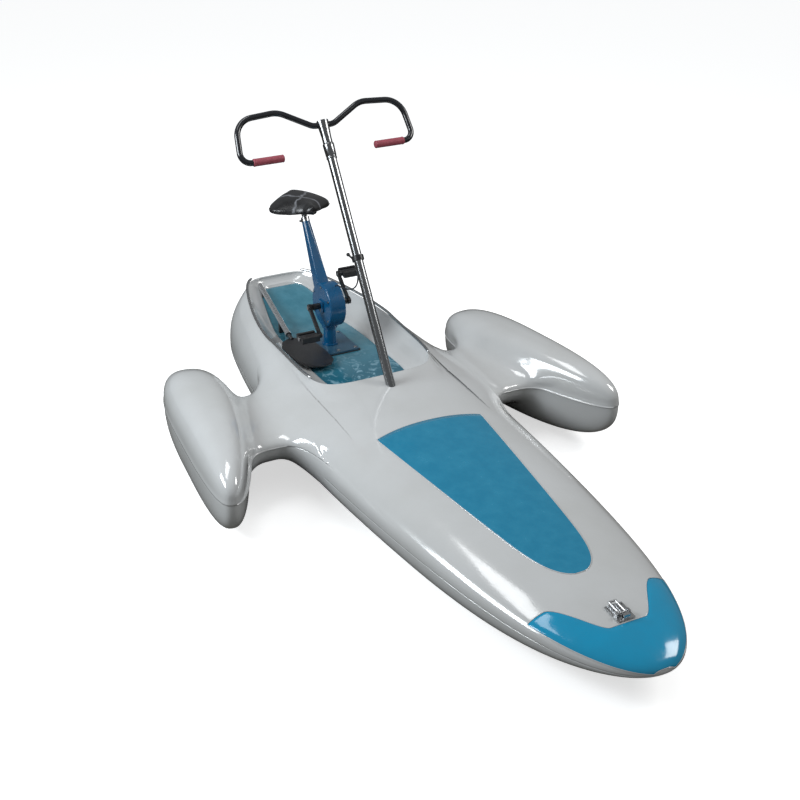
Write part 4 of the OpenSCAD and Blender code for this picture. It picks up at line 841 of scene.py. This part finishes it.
# %% [markdown]
# ## Shared effects for the finishes
# Waviness, stains and brushing appear in many finishes, so each is a node group, built once. A group
# gives out colours, masks and normals only, and every material keeps its own shader.

# %% Node helpers
def new_group(name, inputs, outputs):
    """An empty shader group with named sockets: inputs (name, type, default), outputs (name, type)."""
    group = bpy.data.node_groups.new(name, "ShaderNodeTree")
    for label, kind, value in inputs:
        socket = group.interface.new_socket(label, in_out="INPUT", socket_type=kind)
        socket.default_value = value
    for label, kind in outputs:
        group.interface.new_socket(label, in_out="OUTPUT", socket_type=kind)
    nodes, links = group.nodes, group.links
    return group, nodes, links, nodes.new("NodeGroupInput"), nodes.new("NodeGroupOutput")


def feed(links, sockets, terms):
    """Each term, a socket or a constant, goes into the input socket at the same place."""
    for socket, term in zip(sockets, terms):
        if isinstance(term, bpy.types.NodeSocket):
            links.new(term, socket)
        else:
            socket.default_value = term


def maths(nodes, links, operation, *terms):
    """The output of a Math node."""
    node = nodes.new("ShaderNodeMath")
    node.operation = operation
    feed(links, node.inputs, terms)
    return node.outputs[0]


def mixed(nodes, links, factor, first, second):
    """The output of a colour mix: first where factor is 0, second where it is 1."""
    node = nodes.new("ShaderNodeMix")
    node.data_type = "RGBA"
    feed(links, (node.inputs["Factor"], node.inputs[6], node.inputs[7]), (factor, first, second))
    return node.outputs[2]


def spread(nodes, links, value, start, end, low=0.0, high=1.0, kind="LINEAR"):
    """The output of a Map Range: start to end becomes low to high."""
    node = nodes.new("ShaderNodeMapRange")
    node.interpolation_type = kind
    names = ("Value", "From Min", "From Max", "To Min", "To Max")
    feed(links, [node.inputs[name] for name in names], (value, start, end, low, high))
    return node.outputs["Result"]


def noise_at(nodes, links, vector, scale, detail=2.0, **more):
    """The strength of a noise pattern read at a vector; more names other inputs."""
    node = nodes.new("ShaderNodeTexNoise")
    names = ["Vector", "Scale", "Detail", *more]
    feed(links, [node.inputs[name] for name in names], (vector, scale, detail, *more.values()))
    return node.outputs["Fac"]


def object_place(nodes):
    return nodes.new("ShaderNodeTexCoord").outputs["Object"]


print("helpers ready for groups and materials")

# %% Waviness of moulded skins
def waviness_group():
    """Two sizes of noise as height: the slow sag of a hand-polished skin, and a fine orange peel."""
    number = "NodeSocketFloat"
    sockets = [("Slow Scale", number, 3.0), ("Fine Scale", number, 160.0), ("Slow Depth", number, 0.002),
               ("Fine Depth", number, 0.0001)]
    group, nodes, links, gin, gout = new_group("moulded_waviness", sockets, [("Normal", "NodeSocketVector")])
    place, last = object_place(nodes), None
    for scale, depth in (("Slow Scale", "Slow Depth"), ("Fine Scale", "Fine Depth")):
        bump = nodes.new("ShaderNodeBump")
        links.new(noise_at(nodes, links, place, gin.outputs[scale]), bump.inputs["Height"])
        links.new(gin.outputs[depth], bump.inputs["Distance"])
        if last:
            links.new(last.outputs["Normal"], bump.inputs["Normal"])
        last = bump
    links.new(last.outputs["Normal"], gout.inputs["Normal"])
    return group


WAVY = waviness_group()
print("group:", WAVY.name)

# %% Clouded stains
def stain_group():
    """A base colour and a stain mixed by clouded noise; the mask also dulls the gloss."""
    number, tint = "NodeSocketFloat", "NodeSocketColor"
    sockets = [("Clean", tint, (1, 1, 1, 1)), ("Stain", tint, (.5, .5, .5, 1)), ("Scale", number, 4.0),
               ("Amount", number, 0.5), ("Gloss Low", number, 0.1), ("Gloss High", number, 0.3)]
    group, nodes, links, gin, gout = new_group("clouded_stain", sockets, [("Color", tint), ("Roughness", number)])
    clouds = noise_at(nodes, links, object_place(nodes), gin.outputs["Scale"], 6.0, Roughness=0.62)
    mask = maths(nodes, links, "MULTIPLY", spread(nodes, links, clouds, 0.38, 0.72), gin.outputs["Amount"])
    colour = mixed(nodes, links, mask, gin.outputs["Clean"], gin.outputs["Stain"])
    rough = spread(nodes, links, mask, 0.0, 1.0, gin.outputs["Gloss Low"], gin.outputs["Gloss High"])
    links.new(colour, gout.inputs["Color"])
    links.new(rough, gout.inputs["Roughness"])
    return group


STAINED = stain_group()
print("group:", STAINED.name)

# %% Brushed lines
def brushing_group():
    """Noise stretched along one axis: fine lines as a mask and as a shallow bump."""
    sockets = [("Stretch", "NodeSocketVector", (1, 60, 60)), ("Turn", "NodeSocketVector", (0, 0, 0)),
               ("Depth", "NodeSocketFloat", 0.00004)]
    results = [("Mask", "NodeSocketFloat"), ("Normal", "NodeSocketVector")]
    group, nodes, links, gin, gout = new_group("brushing", sockets, results)
    spin, bump = nodes.new("ShaderNodeMapping"), nodes.new("ShaderNodeBump")
    feed(links, (spin.inputs["Vector"], spin.inputs["Rotation"], spin.inputs["Scale"]),
         (object_place(nodes), gin.outputs["Turn"], gin.outputs["Stretch"]))
    lines = noise_at(nodes, links, spin.outputs["Vector"], 12.0, 4.0)
    links.new(lines, bump.inputs["Height"])
    links.new(gin.outputs["Depth"], bump.inputs["Distance"])
    links.new(lines, gout.inputs["Mask"])
    links.new(bump.outputs["Normal"], gout.inputs["Normal"])
    return group


BRUSHED = brushing_group()
print("group:", BRUSHED.name)

# %% Material builder
def material(name, **shader):
    """A material with its Principled shader; keyword names are socket names with _ for spaces."""
    mat = bpy.data.materials.new(name)
    mat.use_nodes = True
    bsdf = mat.node_tree.nodes["Principled BSDF"]
    for key, value in shader.items():
        bsdf.inputs[key.replace("_", " ")].default_value = value
    return mat, mat.node_tree.nodes, mat.node_tree.links, bsdf


def place_group(nodes, group, **values):
    node = nodes.new("ShaderNodeGroup")
    node.node_tree = group
    for key, value in values.items():
        node.inputs[key.replace("_", " ")].default_value = value
    return node


def moulded(name, clean, stain, clouds, gloss, wave, **shader):
    """A moulded surface. clouds: scale, amount. gloss: low, high. wave: depth, fine depth, scale, fine scale."""
    mat, nodes, links, bsdf = material(name, **shader)
    s = place_group(nodes, STAINED, Clean=(*clean, 1), Stain=(*stain, 1), Scale=clouds[0], Amount=clouds[1],
                    Gloss_Low=gloss[0], Gloss_High=gloss[1])
    w = place_group(nodes, WAVY, Slow_Depth=wave[0], Fine_Depth=wave[1], Slow_Scale=wave[2], Fine_Scale=wave[3])
    links.new(s.outputs["Color"], bsdf.inputs["Base Color"])
    links.new(s.outputs["Roughness"], bsdf.inputs["Roughness"])
    links.new(w.outputs["Normal"], bsdf.inputs["Normal"])
    return mat, nodes, links, bsdf, s.outputs["Color"]


def metal(name, dark, light, low, high, stretch, turn=(0, 0, 0)):
    """A brushed metal: the lines vary its colour and roughness a little."""
    mat, nodes, links, bsdf = material(name, Metallic=1.0)
    b = place_group(nodes, BRUSHED, Stretch=stretch, Turn=turn, Depth=0.00004)
    mask = b.outputs["Mask"]
    links.new(mixed(nodes, links, mask, (*dark, 1), (*light, 1)), bsdf.inputs["Base Color"])
    links.new(spread(nodes, links, mask, 0.0, 1.0, low, high), bsdf.inputs["Roughness"])
    links.new(b.outputs["Normal"], bsdf.inputs["Normal"])
    return mat


print("builders ready: moulded, metal")

# %% [markdown]
# ## The finishes
# Gelcoat is a pearly silver white with a hard gloss. The deck panels are a bright blue and the floor
# a deeper teal, both with a wet shine. The drive unit is enamelled in a strong blue, the column is
# bare brushed steel, and the small parts are black plastic and rubber.

# %% Gelcoat and coloured panels
gelcoat = moulded("gelcoat", (0.64, 0.65, 0.655), (0.55, 0.555, 0.545), (2.2, 0.6), (0.10, 0.22),
                  (0.0016, 0.00006, 5, 240), Coat_Weight=0.6, Coat_Roughness=0.04, Metallic=0.12, IOR=1.52)[0]
deck_blue = moulded("deck_blue", (0.006, 0.200, 0.345), (0.016, 0.245, 0.400), (16, 0.75), (0.16, 0.34),
                    (0.0012, 0.00035, 14, 210), Coat_Weight=0.5, Coat_Roughness=0.08)[0]
cap_blue = moulded("cap_blue", (0.002, 0.285, 0.500), (0.006, 0.235, 0.410), (6, 0.6), (0.12, 0.22),
                   (0.0016, 0.0001, 10, 220), Coat_Weight=0.6, Coat_Roughness=0.04)[0]
drive_blue = moulded("drive_blue", (0.002, 0.085, 0.205), (0.004, 0.060, 0.150), (14, 0.7), (0.22, 0.42),
                     (0.0004, 0.00012, 40, 420), Coat_Weight=0.35, Coat_Roughness=0.08)[0]
plate_blue = moulded("plate_blue", (0.025, 0.085, 0.150), (0.045, 0.120, 0.180), (24, 0.8), (0.28, 0.5),
                     (0.0006, 0.0002, 30, 420), Coat_Weight=0.2, Coat_Roughness=0.12)[0]
print("finishes:", gelcoat.name, deck_blue.name, cap_blue.name, drive_blue.name, plate_blue.name)

# %% Teal floor
def floor_finish():
    """Teal floor, darker towards the column in painted shade under the cockpit's front, with crinkled pale patches
    there: painted highlights of light off rippled resin.
    """
    mat, nodes, links, bsdf, base = moulded(
        "sole_teal", (0.045, 0.190, 0.260), (0.095, 0.290, 0.380), (9, 0.8), (0.10, 0.26),
        (0.003, 0.00025, 11, 180), Coat_Weight=0.7, Coat_Roughness=0.05)
    place, split = object_place(nodes), nodes.new("ShaderNodeSeparateXYZ")
    links.new(place, split.inputs[0])
    # Painted shade: the teal darkens towards the column, where the cockpit's front shades the floor.
    near = spread(nodes, links, split.outputs["X"], -0.98, -0.66)
    # Painted highlights: pale crinkled patches near the column, light off the rippled resin painted into the colour.
    painted_ripple_glints = spread(nodes, links, noise_at(nodes, links, place, 17.0, 3.0, Distortion=2.2), 0.53, 0.66)
    painted_shade_teal = mixed(nodes, links, near, base, (0.018, 0.125, 0.185, 1))
    share = maths(nodes, links, "MULTIPLY", maths(nodes, links, "MULTIPLY", near, painted_ripple_glints), 0.62)
    links.new(mixed(nodes, links, share, painted_shade_teal, (0.30, 0.52, 0.64, 1)), bsdf.inputs["Base Color"])
    return mat


sole_teal = floor_finish()
print("finish:", sole_teal.name)

# %% Metals
steel = metal("brushed_steel", (0.42, 0.43, 0.44), (0.72, 0.73, 0.74), 0.16, 0.34, (1, 40, 40))
column_steel = metal("column_steel", (0.14, 0.145, 0.15), (0.46, 0.47, 0.48), 0.12, 0.26, (40, 40, 1), (0, LEAN, 0))
chrome = metal("bright_chrome", (0.80, 0.81, 0.82), (0.90, 0.90, 0.91), 0.05, 0.12, (6, 6, 6))
paddle_metal = metal("paddle_aluminium", (0.66, 0.68, 0.70), (0.86, 0.87, 0.89), 0.2, 0.36, (1, 50, 50), (0, 0, 0.12))
print("metals:", steel.name, column_steel.name, chrome.name, paddle_metal.name)

# %% Rubber, plastic and paint
rubber = moulded("black_rubber", (0.012, 0.012, 0.013), (0.030, 0.030, 0.030), (30, 0.7), (0.55, 0.8),
                 (0.0004, 0.0003, 40, 600))[0]
plastic = moulded("black_plastic", (0.014, 0.014, 0.016), (0.034, 0.034, 0.036), (22, 0.7), (0.30, 0.52),
                  (0.0003, 0.00018, 40, 700), Coat_Weight=0.15, Coat_Roughness=0.2)[0]
black_metal = moulded("black_enamel", (0.013, 0.013, 0.015), (0.05, 0.05, 0.053), (34, 0.6), (0.25, 0.5),
                      (0.0003, 0.0001, 30, 500), Metallic=0.3, Coat_Weight=0.3, Coat_Roughness=0.1)[0]
bar_black = moulded("bar_black", (0.008, 0.009, 0.012), (0.018, 0.020, 0.026), (18, 0.6), (0.14, 0.26),
                    (0.0002, 0.00004, 30, 500), Coat_Weight=0.7, Coat_Roughness=0.06)[0]
grip_red = moulded("grip_red", (0.37, 0.065, 0.095), (0.27, 0.05, 0.07), (26, 0.7), (0.45, 0.65),
                   (0.0004, 0.00025, 60, 700), Sheen_Weight=0.25, Sheen_Roughness=0.4)[0]
print("small finishes:", rubber.name, plastic.name, black_metal.name, bar_black.name, grip_red.name)

# %% Saddle vinyl
def saddle_finish():
    """Black vinyl: small leather cells for the grain, and pale streaks crossing over the middle, the painted sheen of
    clear plastic wrap round the saddle.
    """
    mat, nodes, links, bsdf, base = moulded(
        "saddle_vinyl", (0.010, 0.010, 0.011), (0.030, 0.030, 0.033), (14, 0.8), (0.26, 0.45),
        (0.0004, 0.0001, 20, 500), Coat_Weight=0.25, Coat_Roughness=0.15)
    place, split = object_place(nodes), nodes.new("ShaderNodeSeparateXYZ")
    cells, bump = nodes.new("ShaderNodeTexVoronoi"), nodes.new("ShaderNodeBump")
    feed(links, (cells.inputs["Vector"], cells.inputs["Scale"]), (place, 420.0))
    feed(links, (bump.inputs["Height"], bump.inputs["Distance"], bump.inputs["Strength"]),
         (cells.outputs["Distance"], 0.0003, 0.5))
    links.new(bump.outputs["Normal"], bsdf.inputs["Normal"])
    links.new(place, split.inputs[0])
    noise = noise_at(nodes, links, place, 22.0)
    shift = maths(nodes, links, "MULTIPLY_ADD", noise, 0.05, 1.305)
    # Painted sheen: pale streaks crossing over the middle, light off the clear plastic wrap round the saddle.
    streaks = []
    for tilt in (0.95, -0.95):
        slant = maths(nodes, links, "MULTIPLY_ADD", split.outputs["Y"], tilt, split.outputs["X"])
        away = maths(nodes, links, "ABSOLUTE", maths(nodes, links, "ADD", slant, shift))
        streaks.append(spread(nodes, links, away, 0.012, 0.002, kind="SMOOTHSTEP"))
    painted_wrap_sheen = maths(nodes, links, "MULTIPLY", maths(nodes, links, "MAXIMUM", *streaks), noise)
    links.new(mixed(nodes, links, painted_wrap_sheen, base, (0.30, 0.31, 0.34, 1)), bsdf.inputs["Base Color"])
    return mat


saddle_vinyl = saddle_finish()
print("finish:", saddle_vinyl.name)

# %% Dressing every piece
FINISH = {"gelcoat": gelcoat, "deck_blue": deck_blue, "sole_teal": sole_teal, "drive_blue": drive_blue, "stainless": steel,
          "bright_rails": chrome, "paddle_tube": paddle_metal, "black_rubber": rubber, "black_metal": black_metal,
          "black_plastic": plastic, "black_tube": bar_black, "red_grips": grip_red, "saddle_cover": saddle_vinyl}
slots = {s["node"]: s["material_slot"] for s in frame["record"]["subparts"]}


def dress(piece, mat):
    piece.data.materials.clear()
    piece.data.materials.append(mat)


for node, piece in frame["nodes"].items():
    dress(piece, FINISH[slots[node]])
for node in ("steering_tube", "handlebar_head"):
    dress(frame["nodes"][node], column_steel)
dress(frame["nodes"]["drive_plate"], plate_blue)
NEW_PIECES = ((gelcoat, [deck_skin, hull_skin, panel_line, cap_line, *outriggers]), (deck_blue, [foredeck]),
              (cap_blue, [bow_cap]), (sole_teal, [ramp]), (bar_black, [bar]), (saddle_vinyl, [saddle]),
              (plastic, [piping, blades, hub, cable]), (rubber, pedal_treads), (column_steel, [sleeve]),
              (grip_red, grips), (steel, beads), (chrome, [yokes, *springs]))
for finish, pieces in NEW_PIECES:
    for piece in pieces:
        dress(piece, finish)
new_count = sum(len(pieces) for _, pieces in NEW_PIECES)
print("dressed", len(frame["nodes"]), "packed pieces and", new_count, "new ones")

# %% [markdown]
# ## Floor, light and camera
# The boat stands on a plain pale floor. One broad soft light from the right and behind gives the long
# gloss lines and a soft shadow to the left; two weak ones fill the shade. The camera stands off the
# starboard bow at eye height and looks down on the deck.

# %% Stage
floor_mesh = bpy.data.meshes.new("floor")
floor_mesh.from_pydata([(-60, -60, 0), (60, -60, 0), (60, 60, 0), (-60, 60, 0)], [], [(0, 1, 2, 3)])
floor = bpy.data.objects.new("floor", floor_mesh)
bpy.context.scene.collection.objects.link(floor)
floor_mat, fl_nodes, fl_links, fl_bsdf = material("pale_floor", Roughness=0.9, Specular_IOR_Level=0.1,
                                                  Emission_Strength=0.6)
seen = fl_nodes.new("ShaderNodeLightPath").outputs["Is Camera Ray"]
pale = mixed(fl_nodes, fl_links, seen, (0.10, 0.095, 0.085, 1), (0.95, 0.95, 0.95, 1))
glow = mixed(fl_nodes, fl_links, seen, (0, 0, 0, 1), (1, 1, 1, 1))
fl_links.new(pale, fl_bsdf.inputs["Base Color"])
fl_links.new(glow, fl_bsdf.inputs["Emission Color"])
floor.data.materials.append(floor_mat)
print("floor laid, seen white by the camera and darker by other rays")

# %% Sky

world = bpy.data.worlds.new("studio")
bpy.context.scene.world = world
world.use_nodes = True
w_nodes, w_links = world.node_tree.nodes, world.node_tree.links
sky = w_nodes["Background"]
sky.inputs["Color"].default_value = (0.96, 0.985, 1.0, 1)
ray = w_nodes.new("ShaderNodeLightPath")
w_links.new(spread(w_nodes, w_links, ray.outputs["Is Glossy Ray"], 0.0, 1.0, 0.38, 0.22), sky.inputs["Strength"])
print("sky strength 0.38, and 0.22 in reflections")

# %% Camera

CAM_TURN, CAM_RISE, CAM_ROLL = (math.radians(angle) for angle in (62.049, 27.194, 0.277))
CAM_FAR, CAM_SENSOR, CAM_LENS = 6.4514, 36.0, 63.588
aim = np.array([-0.2758, 0.0, 0.3583])
level = math.cos(CAM_RISE)
back = np.array([math.sin(CAM_TURN) * level, -math.cos(CAM_TURN) * level, math.sin(CAM_RISE)])
right = np.array([math.cos(CAM_TURN), math.sin(CAM_TURN), 0])
up = np.cross(back, right)

camera = bpy.data.objects.new("camera", bpy.data.cameras.new("camera"))
bpy.context.scene.collection.objects.link(camera)
camera.data.sensor_width, camera.data.lens = CAM_SENSOR, CAM_LENS
camera.data.clip_end = 200
rolled_right = right * math.cos(CAM_ROLL) + up * math.sin(CAM_ROLL)
rolled_up = np.cross(back, rolled_right)
turned_to = Matrix([[rolled_right[k], rolled_up[k], back[k]] for k in range(3)]).to_4x4()
turned_to.translation = (aim + back * CAM_FAR).tolist()
camera.matrix_world = turned_to
bpy.context.scene.camera = camera
bpy.context.scene.view_settings.view_transform = "Standard"
print("camera", CAM_FAR, "m away, lens", CAM_LENS, "mm")

# %% Lights
def soft_light(name, place, target, size, power, colour):
    """A rectangular area light at a place, turned to face the target."""
    lamp = bpy.data.lights.new(name, "AREA")
    lamp.shape, lamp.size, lamp.size_y = "RECTANGLE", size[0], size[1]
    lamp.energy, lamp.color = power, colour
    obj = bpy.data.objects.new(name, lamp)
    bpy.context.scene.collection.objects.link(obj)
    obj.location = place
    obj.rotation_euler = (Vector(target) - Vector(place)).to_track_quat("-Z", "Y").to_euler()
    return obj


def from_aim(rightwards, towards, upwards):
    """A place given from the aim: to the camera's right, towards the camera, and up, in metres."""
    return aim + right * rightwards + back * towards + np.array([0, 0, upwards])


key = soft_light("key", from_aim(3.6, -0.4, 3.2), aim, (1.6, 1.6), 62, (1.0, 0.99, 0.97))
side = soft_light("side", from_aim(-3.8, 1.4, 1.9), aim, (2.6, 1.5), 150, (0.90, 0.96, 1.0))
side.data.cycles.cast_shadow = False
top = soft_light("top", from_aim(-1.2, -0.6, 4.6), aim, (3.0, 1.0), 36, (0.98, 0.99, 1.0))
print("lights:", key.name, side.name, top.name)
